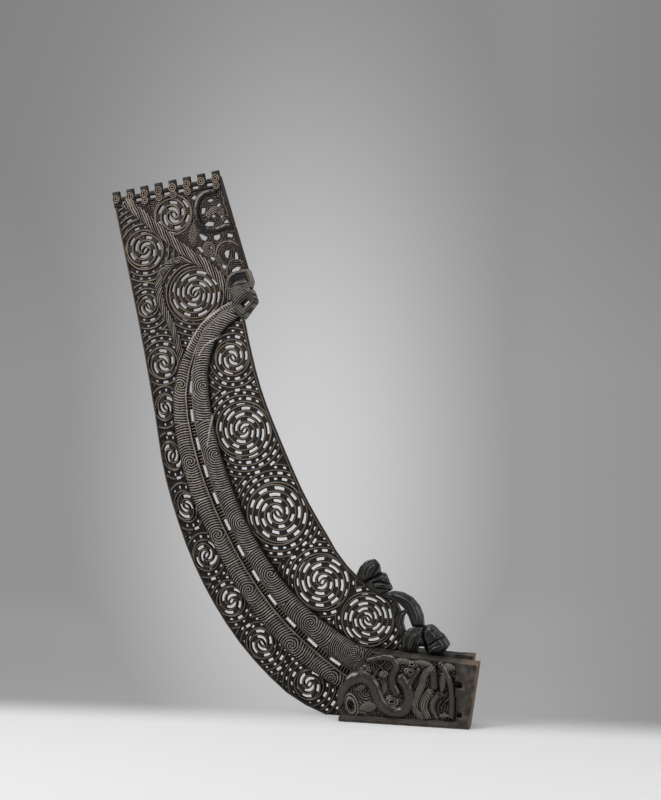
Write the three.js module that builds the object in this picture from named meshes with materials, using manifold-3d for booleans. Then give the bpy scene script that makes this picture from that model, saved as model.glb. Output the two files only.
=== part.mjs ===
// A carved canoe sternpost: a raking pierced slab on a thick heel that sits on the stern of the hull.
// Millimetres. +X points to the bow, +Z up, and the slab lies in the XZ plane, the same on both faces.
// The origin is the middle of the heel's underside.
import * as THREE from "three";
import { mergeVertices } from "three/addons/utils/BufferGeometryUtils.js";
import Module from "manifold-3d";

const wasm = await Module();
wasm.setup();

// Thicknesses across the slab
const PANEL_THICKNESS = 16;
const RAIL_THICKNESS = 26;
const SPIRAL_RIDGE_THICKNESS = 20;
const SPIRAL_BRIDGE_THICKNESS = 12;
const BAND_THICKNESS = 32;
const CREST_THICKNESS = 28;
const RIB_THICKNESS_TOP = 50;
const RIB_THICKNESS_FOOT = 84;
const RIB_WEB_THICKNESS = 16;
const RIB_HEAD_THICKNESS = 72;
const TONGUE_THICKNESS = 46;

// Widths seen from the side
const RAIL_WIDTH = 7;
const OUTER_RIB_WIDTHS = [16, 34, 52, 62, 60, 62, 66, 42];
const INNER_RIB_WIDTHS = [40, 54, 66, 66, 62, 66, 76, 96];
const RIB_GAP = 18;
const RIB_GAP_OPENS = 0.16;
const RIB_GAP_FULL = 0.26;
const RIB_WEB_START = 0.21;
const RIB_STATIONS = 20;
const DIAGONAL_WIDTH = 34;
const SCROLL_BAND_WIDTH = 24;

// Running clearance between pieces that meet, and the least web left round a spiral
const SEAT = 0.3;
const SOCKET_WEB = 1.5;

// How far a cutter runs past the faces it cuts, and a panel's blank into the pieces that trim it
const PAST = 20;
const BLANK_LAP = 10;

// Corners closer than this to a straight line are dropped from a finished solid
const FLATNESS = 0.05;

// How finely the nearest place on a line is looked for, and the sharpest corner that an offset rounds to a point
const PLACES_ON_LINE = 200;
const SHARPEST_CORNER = 0.3;

// The rounded section of a rib, as shares of its width and of its half thickness
const RIB_SECTION = [
  [0, -0.35],
  [0.16, -0.88],
  [0.5, -1],
  [0.84, -0.88],
  [1, -0.35],
];

// The slab's long lines, each from the top down
const AFT_EDGE = [
  [-1003, 1706],
  [-967, 1546],
  [-901, 1240],
  [-854, 991],
  [-808, 740],
  [-708, 466],
  [-565, 236],
  [-393, 66],
  [-257, 0],
];
const FORE_EDGE_UPPER = [
  [-622, 1766],
  [-510, 1402],
];
const FORE_EDGE_LOWER = [
  [-541, 1292],
  [-513, 1164],
  [-470, 1018],
  [-378, 801],
  [-324, 690],
  [-251, 569],
  [-204, 497],
  [-119, 418],
  [-43, 392],
];
const RIB_GAP_LINE = [
  [-545, 1346],
  [-615, 1305],
  [-665, 1264],
  [-714, 1158],
  [-727, 1064],
  [-724, 978],
  [-684, 813],
  [-614, 640],
  [-513, 461],
  [-388, 302],
  [-221, 165],
  [-130, 116],
];
const DIAGONAL_LINE = [
  [-962, 1690],
  [-908, 1652],
  [-836, 1590],
  [-747, 1520],
  [-674, 1472],
  [-612, 1412],
  [-578, 1354],
];
const SCROLL_BAND_LINE = [
  [-716, 1488],
  [-780, 1486],
  [-824, 1452],
  [-838, 1396],
  [-826, 1342],
  [-801, 1290],
  [-780, 1243],
  [-762, 1190],
  [-755, 1130],
];

// Crest rail along the top of the slab
const CREST_LEFT = [-1004, 1702];
const CREST_RIGHT = [-624, 1762];
const CREST_BAR = 14;
const CREST_SLOT_HEIGHT = 10;
const CREST_SLOT_WIDTH = 22;
const CREST_SILL = 9;
const MERLON_COUNT = 8;
const MERLON_WIDTH = 26;
const MERLON_HEIGHT = 22;

// Pierced double spirals: the ridges are one channel apart
const RIDGE_WIDTH = 9;
const CHANNEL_WIDTH = 12;
const BRIDGE_LENGTH = 34;
const SLOT_LENGTH = 40;
const FIRST_BRIDGE_TURN = 2.4;
const FULL_SPIRAL_RADIUS = 60;
const FINEST_RIDGE = 0.75;
const RIDGE_STEP = 46;
const RIDGE_STEPS_PER_TURN = 8;
const LEAST_RIM_STEPS = 12;
const BRIDGE_LAP = 0.3;

// Spiral places: how far down their band, and how much longer than wide
const FORE_SPIRALS = [
  { at: 0.15, stretch: 1 },
  { at: 0.335, stretch: 1 },
  { at: 0.59, stretch: 1 },
  { at: 0.815, stretch: 1 },
];
const AFT_SPIRALS = [
  { at: 0.285, stretch: 1 },
  { at: 0.374, stretch: 1.3 },
  { at: 0.463, stretch: 1.5 },
  { at: 0.557, stretch: 1.4 },
  { at: 0.648, stretch: 1.15 },
  { at: 0.74, stretch: 1 },
  { at: 0.832, stretch: 1 },
];
const HEEL_SPIRAL = { centre: [-121, 315], stretch: 1 };
const TAIL_SPIRAL = { centre: [-316, 94], stretch: 1 };
const HEART_SPIRAL = { centre: [-709, 1375], stretch: 1 };
const CROWN_SPIRAL = { centre: [-787, 1641], stretch: 1 };
const UPPER_SHOULDER_SPIRAL = { centre: [-889, 1526], stretch: 1 };
const LOWER_SHOULDER_SPIRAL = { centre: [-878, 1338], stretch: 1 };

// Heel block
const HEEL_THICKNESS = 170;
const HEEL_AFT = -200;
const HEEL_SHOULDER = 92;
const HEEL_NECK = -112;
const HEEL_TOP_AFT = 226;
const HEEL_TOP_FORE = 204;
const HEEL_FORE_FOOT = 216;
const HEEL_FORE_TOP = 246;
const HEEL_FAR_STEP = 24;
const HULL_GROOVE_WIDTH = 56;
const HULL_GROOVE_AFT = 158;

// Lashing holes: how far fore of the groove's end, and how high
const UPPER_LASHING_HOLE = { fore: 27, height: 136, size: 20 };
const LOWER_LASHING_HOLE = { fore: 27, height: 42, size: 17 };
const FAR_LASHING_SLOT = { fore: 39, height: 184, length: 24, width: 9 };

// Carving in relief on both faces of the heel. Its points are x and a share of the sunk face's height there
const RELIEF_DEPTH = 26;
const RELIEF_SILL = 22;
const RELIEF_TOP_STRIP = 12;
const RELIEF_FORE = 172;
const RELIEF_AFT = -82;
const LIMB_SIDES = 6;
const MASK_EYE_STEPS = 10;
const LIMB_STEPS_PER_POINT = 1.4;
const SERPENT_DIAMETER = 31;
const SERPENT_NECK_DIAMETER = 26;
const SERPENT_ROUTE = [
  [-197, 0.162],
  [-194, 0.355],
  [-168, 0.532],
  [-128, 0.637],
  [-97, 0.565],
  [-85, 0.399],
  [-67, 0.233],
  [-27, 0.107],
  [14, 0.168],
  [27, 0.349],
  [20, 0.522],
  [8, 0.628],
];
const SERPENT_NECK_ROUTE = [
  [-38, 0.427],
  [-34, 0.62],
  [-22, 0.783],
  [-34, 0.897],
  [-62, 0.921],
  [-90, 0.85],
];
const MASK_OUTLINE = [
  [60, 0.044],
  [50, 0.22],
  [46, 0.428],
  [52, 0.682],
  [70, 0.885],
  [108, 0.952],
  [146, 0.92],
  [154, 0.729],
  [166, 0.515],
  [164, 0.229],
  [150, 0.068],
  [104, 0.022],
];
const MASK_EYES = [
  { centre: [84, 0.533], radius: 7, stretch: 2.4, angle: 76 },
  { centre: [128, 0.361], radius: 6, stretch: 2.6, angle: 120 },
];

// Figures on the fore edge
const FIGURE_BEVEL = 7;
const UPPER_HEAD_THICKNESS = 58;
const ARM_THICKNESS = 46;
const LOWER_HEAD_THICKNESS = 78;
const HAND_THICKNESS = 34;
const UPPER_HEAD_OUTLINE = [
  [-156, 458],
  [-144, 484],
  [-128, 502],
  [-101, 508],
  [-84, 491],
  [-82, 468],
  [-64, 462],
  [-52, 436],
  [-41, 412],
  [-80, 392],
  [-122, 420],
];
const ARM_OUTLINE = [
  [-72, 396],
  [-40, 408],
  [-7, 404],
  [23, 389],
  [47, 362],
  [59, 332],
  [62, 300],
  [26, 298],
  [14, 330],
  [0, 355],
  [-22, 376],
  [-46, 386],
];
const LOWER_HEAD_OUTLINE = [
  [-7, 213],
  [-9, 256],
  [4, 284],
  [33, 298],
  [64, 301],
  [84, 304],
  [99, 294],
  [111, 280],
  [124, 273],
  [144, 242],
  [122, 213],
  [74, 213],
  [66, 240],
  [44, 238],
  [38, 213],
];
const HAND_OUTLINE = [
  [-26, 372],
  [-38, 378],
  [-43, 366],
  [-41, 344],
  [-30, 318],
  [-24, 292],
  [-12, 262],
  [2, 280],
  [-6, 306],
  [-2, 330],
  [8, 342],
  [0, 352],
  [-14, 344],
];

const RIB_HEAD_OUTLINE = [
  [-582, 1378],
  [-554, 1389],
  [-519, 1392],
  [-507, 1379],
  [-495, 1344],
  [-528, 1302],
  [-541, 1286],
  [-563, 1306],
  [-574, 1336],
];
const RIB_HEAD_SLOT = { centre: [-530, 1340], length: 22, width: 9, angle: 42 };
const TONGUE_OUTLINE = [
  [-600, 1390],
  [-592, 1428],
  [-566, 1446],
  [-522, 1452],
  [-508, 1412],
  [-514, 1386],
  [-554, 1382],
  [-580, 1372],
];

// A coiled limb and the irregular openings of the figure at the top fore corner
const CROWN_LIMB_WIDTH = 15;
const CROWN_LIMB_THICKNESS = 28;
const CROWN_LIMB_ROUTE = [
  [-633, 1712],
  [-664, 1711],
  [-688, 1698],
  [-700, 1674],
  [-703, 1642],
  [-693, 1609],
  [-665, 1589],
  [-631, 1586],
  [-599, 1597],
  [-572, 1592],
];
const CROWN_OPENINGS = [
  [[-726, 1695], [-716, 1704], [-705, 1700], [-711, 1688]],
  [[-670, 1685], [-657, 1690], [-644, 1685], [-657, 1679]],
  [[-637, 1667], [-629, 1676], [-620, 1669], [-627, 1661]],
  [[-690, 1643], [-688, 1661], [-673, 1659], [-678, 1641]],
  [[-654, 1634], [-646, 1638], [-638, 1631], [-646, 1626]],
  [[-623, 1631], [-618, 1636], [-612, 1630], [-618, 1625]],
  [[-680, 1604], [-666, 1615], [-644, 1611], [-646, 1600], [-665, 1599]],
  [[-613, 1607], [-600, 1622], [-592, 1609]],
  [[-727, 1648], [-719, 1648], [-717, 1612], [-724, 1612]],
  [[-699, 1574], [-688, 1573], [-667, 1562], [-673, 1551], [-688, 1556]],
  [[-647, 1567], [-624, 1572], [-623, 1559], [-633, 1551], [-645, 1556]],
  [[-600, 1574], [-578, 1569], [-580, 1560], [-598, 1561]],
  [[-706, 1532], [-692, 1531], [-681, 1516], [-689, 1512]],
  [[-660, 1531], [-655, 1535], [-650, 1527], [-655, 1519]],
  [[-660, 1499], [-641, 1493], [-644, 1483], [-655, 1489]],
  [[-609, 1508], [-603, 1517], [-590, 1516], [-595, 1491], [-604, 1496]],
  [[-572, 1510], [-563, 1507], [-559, 1487], [-572, 1487]],
  [[-617, 1472], [-600, 1465], [-604, 1455], [-616, 1462]],
  [[-583, 1451], [-567, 1462], [-550, 1461], [-558, 1449], [-580, 1443]],
];
const HEART_OPENINGS = [
  [[-634, 1303], [-622, 1316], [-612, 1310], [-624, 1297]],
  [[-606, 1376], [-600, 1384], [-592, 1376], [-599, 1367]],
];

// Fretwork openings in the panels, in rows between one spiral and the next
const FRET_HOLE_LENGTH = 20;
const FRET_HOLE_WIDTH = 9;
const FRET_WEB = 10;
const FRET_ROWS = 3;

// Row of through slots between the ribs, as shares of the way down the gap
const WEB_SLOT_COUNT = 12;
const WEB_SLOT_FIRST = 0.234;
const WEB_SLOT_LAST = 0.925;
const WEB_SLOT_LENGTH = 40;
const WEB_SLOT_WIDTH = 12.4;

const wood = new THREE.MeshStandardMaterial({ color: 0x3a342f, roughness: 0.48, metalness: 0 });
const rubbedWood = new THREE.MeshStandardMaterial({ color: 0x4a4139, roughness: 0.42, metalness: 0 });
const wornWood = new THREE.MeshStandardMaterial({ color: 0x4d3b2c, roughness: 0.7, metalness: 0 });

// Solids to geometry and back

function solidFrom(geometry) {
  const bare = new THREE.BufferGeometry();
  bare.setAttribute("position", geometry.getAttribute("position"));
  if (geometry.index) bare.setIndex(geometry.index);
  const merged = mergeVertices(bare, 1e-3);
  return new wasm.Manifold(
    new wasm.Mesh({
      numProp: 3,
      vertProperties: new Float32Array(merged.attributes.position.array),
      triVerts: new Uint32Array(merged.index.array),
    }),
  );
}

// Closes a skin of corners and triangles, turned so that it faces out
function solidFromLoop(positions, index) {
  const geometry = new THREE.BufferGeometry();
  geometry.setAttribute("position", new THREE.Float32BufferAttribute(positions, 3));
  let volume = 0;
  for (let i = 0; i < index.length; i += 3) {
    const [a, b, c] = index.slice(i, i + 3).map((k) => new THREE.Vector3().fromArray(positions, 3 * k));
    volume += a.dot(b.cross(c));
  }
  geometry.setIndex(volume < 0 ? [...index].reverse() : index);
  return solidFrom(geometry);
}

function geometryFrom(solid) {
  const mesh = solid.getMesh();
  const geometry = new THREE.BufferGeometry();
  geometry.setAttribute("position", new THREE.BufferAttribute(mesh.vertProperties, 3));
  geometry.setIndex(new THREE.BufferAttribute(mesh.triVerts, 1));
  const faceted = geometry.toNonIndexed();
  faceted.computeVertexNormals();
  return faceted;
}

// A plate in the XZ plane between two depths, with an optional rounded edge
function plateBetween(outline, near, far, bevel = 0) {
  const shape = new THREE.Shape(outline.map(([x, z]) => new THREE.Vector2(x, z)));
  const geometry = new THREE.ExtrudeGeometry(shape, {
    depth: far - near - 2 * bevel,
    bevelEnabled: bevel > 0,
    bevelThickness: bevel,
    bevelSize: bevel,
    bevelOffset: -bevel,
    bevelSegments: 2,
  });
  geometry.rotateX(Math.PI / 2);
  geometry.translate(0, far - bevel, 0);
  return solidFrom(geometry);
}

function plate(outline, thickness, bevel = 0) {
  return plateBetween(outline, -thickness / 2, thickness / 2, bevel);
}

// Lines in the XZ plane

function curveThrough(points, count) {
  const curve = new THREE.SplineCurve(points.map(([x, z]) => new THREE.Vector2(x, z)));
  return curve.getSpacedPoints(count).map((p) => [p.x, p.y]);
}

// The left-hand normal of each point of a line, looking along it
function normalsOf(line) {
  return line.map((_, i) => {
    const a = line[Math.max(0, i - 1)];
    const b = line[Math.min(line.length - 1, i + 1)];
    const length = Math.hypot(b[0] - a[0], b[1] - a[1]);
    return [-(b[1] - a[1]) / length, (b[0] - a[0]) / length];
  });
}

function offsetLine(line, distance) {
  const normals = normalsOf(line);
  return line.map(([x, z], i) => {
    const d = typeof distance === "function" ? distance(i / (line.length - 1)) : distance;
    return [x + normals[i][0] * d, z + normals[i][1] * d];
  });
}

// The band that clears another by the same distance on its sides and its ends
function grownBand(line, width) {
  const normals = normalsOf(line);
  const last = line.length - 1;
  const longer = line.map(([x, z], i) => {
    const out = i === 0 ? -SEAT : i === last ? SEAT : 0;
    return [x + normals[i][1] * out, z - normals[i][0] * out];
  });
  return bandOutline(longer, width + 2 * SEAT);
}

function bandOutline(line, width) {
  return [...offsetLine(line, width / 2), ...offsetLine(line, -width / 2).reverse()];
}

function rectangle(x0, z0, x1, z1) {
  return [
    [x0, z0],
    [x1, z0],
    [x1, z1],
    [x0, z1],
  ];
}

// A rectangle round a centre, turned so that its length lies along a heading
function squareAt([x, z], length, width, heading = 0) {
  const c = Math.cos(heading);
  const s = Math.sin(heading);
  return rectangle(-length / 2, -width / 2, length / 2, width / 2).map(([u, v]) => [
    x + u * c - v * s,
    z + u * s + v * c,
  ]);
}

function ellipseOutline([x, z], radius, stretch, angle, steps) {
  return Array.from({ length: steps }, (_, i) => {
    const turn = (2 * Math.PI * i) / steps;
    const along = radius * stretch * Math.cos(turn);
    const across = radius * Math.sin(turn);
    return [
      x + along * Math.cos(angle) - across * Math.sin(angle),
      z + along * Math.sin(angle) + across * Math.cos(angle),
    ];
  });
}

// How far a point is from a line of points
function distanceTo(line, [x, z]) {
  let least = Infinity;
  for (let i = 1; i < line.length; i++) {
    const [ax, az] = line[i - 1];
    const [bx, bz] = line[i];
    const lengthSquared = (bx - ax) ** 2 + (bz - az) ** 2;
    const share = ((x - ax) * (bx - ax) + (z - az) * (bz - az)) / lengthSquared;
    const t = Math.min(1, Math.max(0, share));
    least = Math.min(least, Math.hypot(x - ax - t * (bx - ax), z - az - t * (bz - az)));
  }
  return least;
}

function tableAt(values, share) {
  const place = Math.min(0.9999, Math.max(0, share)) * (values.length - 1);
  const i = Math.floor(place);
  return values[i] + (values[i + 1] - values[i]) * (place - i);
}

function pointAt(line, share) {
  const place = share * (line.length - 1);
  const i = Math.min(line.length - 2, Math.floor(place));
  return [0, 1].map((k) => line[i][k] + (line[i + 1][k] - line[i][k]) * (place - i));
}

// Ribs: two tapering members on either side of the gap line, with rounded faces

const gapLine = curveThrough(RIB_GAP_LINE, RIB_STATIONS);

function gapHalf(share) {
  const open = (share - RIB_GAP_OPENS) / (RIB_GAP_FULL - RIB_GAP_OPENS);
  return SEAT / 2 + (RIB_GAP / 2 - SEAT / 2) * THREE.MathUtils.smoothstep(open, 0, 1);
}

function ribHalfThickness(share) {
  return (RIB_THICKNESS_TOP + (RIB_THICKNESS_FOOT - RIB_THICKNESS_TOP) * Math.min(1, share / 0.5)) / 2;
}

const outerRibWidth = (share) => tableAt(OUTER_RIB_WIDTHS, share);
const innerRibWidth = (share) => tableAt(INNER_RIB_WIDTHS, share);
const outerRibLine = offsetLine(gapLine, (s) => -(gapHalf(s) + outerRibWidth(s)));
const innerRibLine = offsetLine(gapLine, (s) => gapHalf(s) + innerRibWidth(s));

function ribSolid(side, widthAt, grow) {
  const loop = [...RIB_SECTION, ...RIB_SECTION.map(([w, t]) => [w, -t]).reverse()];
  const normals = normalsOf(gapLine);
  const positions = [];
  gapLine.forEach(([x, z], i) => {
    const share = i / (gapLine.length - 1);
    const inner = gapHalf(share) - grow;
    const width = widthAt(share) + 2 * grow;
    for (const [w, t] of loop) {
      const across = side * (inner + w * width);
      positions.push(
        x + normals[i][0] * across,
        t * (ribHalfThickness(share) + grow),
        z + normals[i][1] * across,
      );
    }
  });
  const n = loop.length;
  const index = [];
  for (let i = 0; i < gapLine.length - 1; i++) {
    for (let j = 0; j < n; j++) {
      const a = i * n + j;
      const b = i * n + ((j + 1) % n);
      index.push(a, b, a + n, b, b + n, a + n);
    }
  }
  const last = (gapLine.length - 1) * n;
  for (let j = 1; j < n - 1; j++) {
    index.push(0, j + 1, j);
    index.push(last, last + j, last + j + 1);
  }
  return solidFromLoop(positions, index);
}

// Bands, crest, rib head and tongue

const diagonalLine = curveThrough(DIAGONAL_LINE, 14);
const scrollBandLine = curveThrough(SCROLL_BAND_LINE, 18);

function crestFrame() {
  const length = Math.hypot(CREST_RIGHT[0] - CREST_LEFT[0], CREST_RIGHT[1] - CREST_LEFT[1]);
  const along = [(CREST_RIGHT[0] - CREST_LEFT[0]) / length, (CREST_RIGHT[1] - CREST_LEFT[1]) / length];
  const at = (u, v) => [
    CREST_LEFT[0] + along[0] * u - along[1] * v,
    CREST_LEFT[1] + along[1] * u + along[0] * v,
  ];
  return { length, at };
}

function crestBox(u0, u1, v0, v1) {
  const { at } = crestFrame();
  return [at(u0, v0), at(u1, v0), at(u1, v1), at(u0, v1)];
}

const CREST_DEPTH = CREST_BAR + CREST_SLOT_HEIGHT + CREST_SILL;

function crestRail() {
  const { length } = crestFrame();
  let rail = plate(crestBox(0, length, -CREST_DEPTH, 0), CREST_THICKNESS);
  const pitch = (length - MERLON_WIDTH) / (MERLON_COUNT - 1);
  for (let i = 0; i < MERLON_COUNT; i++) {
    rail = rail.add(plate(crestBox(i * pitch, i * pitch + MERLON_WIDTH, -1, MERLON_HEIGHT), CREST_THICKNESS));
  }
  for (let i = 0; i < MERLON_COUNT - 1; i++) {
    const middle = MERLON_WIDTH / 2 + (i + 0.5) * pitch;
    const slot = crestBox(
      middle - CREST_SLOT_WIDTH / 2,
      middle + CREST_SLOT_WIDTH / 2,
      -CREST_BAR - CREST_SLOT_HEIGHT,
      -CREST_BAR,
    );
    rail = rail.subtract(plate(slot, CREST_THICKNESS + PAST));
  }
  return rail;
}

function ribHead() {
  const { centre, length, width, angle } = RIB_HEAD_SLOT;
  const slot = squareAt(centre, length, width, THREE.MathUtils.degToRad(angle));
  const head = plate(RIB_HEAD_OUTLINE, RIB_HEAD_THICKNESS, FIGURE_BEVEL);
  return head.subtract(plate(slot, RIB_HEAD_THICKNESS + PAST));
}

const aftEdge = curveThrough(AFT_EDGE, 26);
const foreEdgeUpper = curveThrough(FORE_EDGE_UPPER, 2);
const foreEdgeLower = curveThrough(FORE_EDGE_LOWER, 18);
const aftRailLine = offsetLine(aftEdge, RAIL_WIDTH);
const foreRailUpperLine = offsetLine(foreEdgeUpper, -RAIL_WIDTH);
const foreRailLowerLine = offsetLine(foreEdgeLower, -RAIL_WIDTH);

// Pierced double spirals

function clearRadius(centre, lines) {
  return Math.min(...lines.map((line) => distanceTo(line, centre))) - SOCKET_WEB - SEAT;
}

function rimStepsOf(radius) {
  return Math.max(LEAST_RIM_STEPS, Math.round((2 * Math.PI * radius) / RIDGE_STEP));
}

// Small spirals keep the same pattern with finer ridges
function spiralSizes(radius) {
  const share = Math.min(1, Math.max(FINEST_RIDGE, radius / FULL_SPIRAL_RADIUS));
  return {
    ridge: RIDGE_WIDTH * share,
    channel: CHANNEL_WIDTH * share,
    bridge: BRIDGE_LENGTH,
    slot: SLOT_LENGTH,
  };
}

function spiralSolid({ centre, radius, stretch, angle, hand }) {
  const { ridge, channel, bridge, slot } = spiralSizes(radius);
  const growth = (ridge + channel) / Math.PI;
  const at = (r, turn) => [r * Math.cos(turn), hand * r * Math.sin(turn)];
  const rimSteps = rimStepsOf(radius);
  const circle = (r) => Array.from({ length: rimSteps }, (_, i) => at(r, (2 * Math.PI * i) / rimSteps));
  let disc = plate(circle(radius), SPIRAL_RIDGE_THICKNESS);
  disc = disc.subtract(plate(circle(radius - ridge), SPIRAL_RIDGE_THICKNESS + PAST));
  const inside = plate(circle(radius - ridge / 2), SPIRAL_RIDGE_THICKNESS + PAST);
  const firstTurn = 1;
  const lastTurn = (radius - ridge / 2) / growth;
  // A bar through the centre joins the two arms
  const bar = bandOutline([at(growth, firstTurn), at(growth, firstTurn + Math.PI)], ridge);
  disc = disc.add(plate(bar, SPIRAL_RIDGE_THICKNESS));
  for (const start of [0, Math.PI]) {
    const line = [];
    let turn = firstTurn;
    while (turn < lastTurn - firstTurn / 10) {
      line.push(at(growth * turn, turn + start));
      turn += Math.min((2 * Math.PI) / RIDGE_STEPS_PER_TURN, RIDGE_STEP / (growth * turn));
    }
    line.push(at(growth * lastTurn, lastTurn + start));
    disc = disc.add(plate(bandOutline(line, ridge), SPIRAL_RIDGE_THICKNESS));
    // Bridges step along the channel that follows this ridge
    turn = FIRST_BRIDGE_TURN;
    while (growth * turn + (ridge + channel) / 2 < radius - ridge) {
      const r = growth * turn + (ridge + channel) / 2;
      const half = bridge / 2 / r;
      const low = r - channel / 2 - ridge * BRIDGE_LAP;
      const high = r + channel / 2 + ridge * BRIDGE_LAP;
      const middle = turn + start;
      const before = middle - half;
      const after = middle + half;
      const block = [at(low, before), at(high, before), at(high, after), at(low, after)];
      disc = disc.add(plate(block, SPIRAL_BRIDGE_THICKNESS).intersect(inside));
      turn += (bridge + slot) / r;
    }
  }
  return largestOf(disc.intersect(plate(circle(radius), SPIRAL_RIDGE_THICKNESS + PAST)))
    .asOriginal()
    .simplify(FLATNESS)
    .scale([stretch, 1, 1])
    .rotate([0, -THREE.MathUtils.radToDeg(angle), 0])
    .translate([centre[0], 0, centre[1]]);
}

function spiralSocket({ centre, radius, stretch, angle }) {
  const hole = ellipseOutline(centre, radius + SEAT, stretch, angle, rimStepsOf(radius));
  return plate(hole, RAIL_THICKNESS + PAST);
}

// Places a spiral midway between two lines, as wide as the band allows
function spiralInBand({ at, stretch }, near, far, hand) {
  const a = pointAt(near, at);
  const share = nearestShare(far, a);
  const b = pointAt(far, share);
  const centre = [(a[0] + b[0]) / 2, (a[1] + b[1]) / 2];
  const along = Math.atan2(b[1] - a[1], b[0] - a[0]) + Math.PI / 2;
  return { centre, radius: clearRadius(centre, [near, far]), stretch, angle: stretch > 1 ? along : 0, hand };
}

function nearestShare(line, point) {
  let best = 0;
  let least = Infinity;
  for (let i = 0; i <= PLACES_ON_LINE; i++) {
    const [x, z] = pointAt(line, i / PLACES_ON_LINE);
    const d = Math.hypot(x - point[0], z - point[1]);
    if (d < least) {
      least = d;
      best = i / PLACES_ON_LINE;
    }
  }
  return best;
}

const heelOutline = [
  [HEEL_AFT, 0],
  [HEEL_FORE_FOOT, 0],
  [HEEL_FORE_TOP, HEEL_TOP_FORE],
  [HEEL_NECK, HEEL_TOP_AFT],
  [HEEL_AFT, HEEL_SHOULDER],
];
const heelTopLine = [heelOutline[3], heelOutline[2]];
const heelEndLine = [heelOutline[0], heelOutline[4], heelOutline[3]];
const closed = (outline) => [...outline, outline[0]];
const diagonalLow = offsetLine(diagonalLine, -DIAGONAL_WIDTH / 2);
const diagonalHigh = offsetLine(diagonalLine, DIAGONAL_WIDTH / 2);
const scrollRight = offsetLine(scrollBandLine, SCROLL_BAND_WIDTH / 2);
const scrollLeft = offsetLine(scrollBandLine, -SCROLL_BAND_WIDTH / 2);
const crestSillLine = [crestFrame().at(0, -CREST_DEPTH), crestFrame().at(crestFrame().length, -CREST_DEPTH)];

function freeSpiral({ centre, stretch }, lines, hand) {
  return { centre, radius: clearRadius(centre, lines), stretch, angle: 0, hand };
}

const panelLines = {
  fore_panel: [
    foreRailLowerLine,
    innerRibLine,
    heelTopLine,
    closed(UPPER_HEAD_OUTLINE),
    closed(ARM_OUTLINE),
    closed(HAND_OUTLINE),
    closed(LOWER_HEAD_OUTLINE),
    closed(RIB_HEAD_OUTLINE),
  ],
  aft_panel: [aftRailLine, outerRibLine, heelEndLine, scrollLeft, diagonalLow],
  heart_panel: [diagonalLow, scrollRight, scrollLeft, outerRibLine, closed(RIB_HEAD_OUTLINE)],
  crown_panel: [
    diagonalHigh,
    crestSillLine,
    foreRailUpperLine,
    closed(TONGUE_OUTLINE),
    closed(RIB_HEAD_OUTLINE),
  ],
};

const spirals = { fore_panel: {}, aft_panel: {}, heart_panel: {}, crown_panel: {} };
FORE_SPIRALS.forEach((s, i) => {
  const spiral = spiralInBand(s, foreRailLowerLine, innerRibLine, i % 2 ? -1 : 1);
  spirals.fore_panel[`fore_spiral_${i + 1}`] = spiral;
});
spirals.fore_panel.fore_spiral_5 = freeSpiral(HEEL_SPIRAL, panelLines.fore_panel, 1);
AFT_SPIRALS.forEach((s, i) => {
  const spiral = spiralInBand(s, aftRailLine, outerRibLine, i % 2 ? -1 : 1);
  spirals.aft_panel[`aft_spiral_${i + 1}`] = spiral;
});
spirals.aft_panel.aft_spiral_8 = freeSpiral(TAIL_SPIRAL, panelLines.aft_panel, -1);
spirals.aft_panel.shoulder_spiral_1 = freeSpiral(UPPER_SHOULDER_SPIRAL, panelLines.aft_panel, -1);
spirals.aft_panel.shoulder_spiral_2 = freeSpiral(LOWER_SHOULDER_SPIRAL, panelLines.aft_panel, 1);
spirals.heart_panel.heart_spiral = freeSpiral(HEART_SPIRAL, panelLines.heart_panel, -1);
spirals.crown_panel.crown_spiral = freeSpiral(CROWN_SPIRAL, panelLines.crown_panel, 1);

// Pieces, each cut back by the clearance where it meets one already made

const placed = [];

function largestOf(solid) {
  return solid.decompose().sort((a, b) => b.volume() - a.volume())[0];
}

function place(name, solid, grown, material = wood) {
  placed.push({ name, solid, grown, material });
}

function fitted(solid) {
  let result = solid;
  for (const { grown } of placed) if (grown) result = result.subtract(grown);
  return largestOf(result).asOriginal().simplify(FLATNESS);
}

function grownPlate(outline, thickness) {
  const flat = THREE.ShapeUtils.area(outline.map(([x, z]) => new THREE.Vector2(x, z)));
  const ring = closed(outline);
  const wide = offsetRing(ring, flat > 0 ? -SEAT : SEAT);
  return plate(wide, thickness + 2 * SEAT);
}

// Moves every side of a closed outline outward by the same distance
function offsetRing(ring, distance) {
  const points = ring.slice(0, -1);
  const n = points.length;
  return points.map(([x, z], i) => {
    const before = points[(i + n - 1) % n];
    const after = points[(i + 1) % n];
    const side = (p, q) => {
      const length = Math.hypot(q[0] - p[0], q[1] - p[1]);
      return [-(q[1] - p[1]) / length, (q[0] - p[0]) / length];
    };
    const a = side(before, points[i]);
    const b = side(points[i], after);
    const scale = distance / Math.max(SHARPEST_CORNER, 1 + a[0] * b[0] + a[1] * b[1]);
    return [x + (a[0] + b[0]) * scale, z + (a[1] + b[1]) * scale];
  });
}

// Heel block with its sunk faces, hull groove and lashing holes

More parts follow.
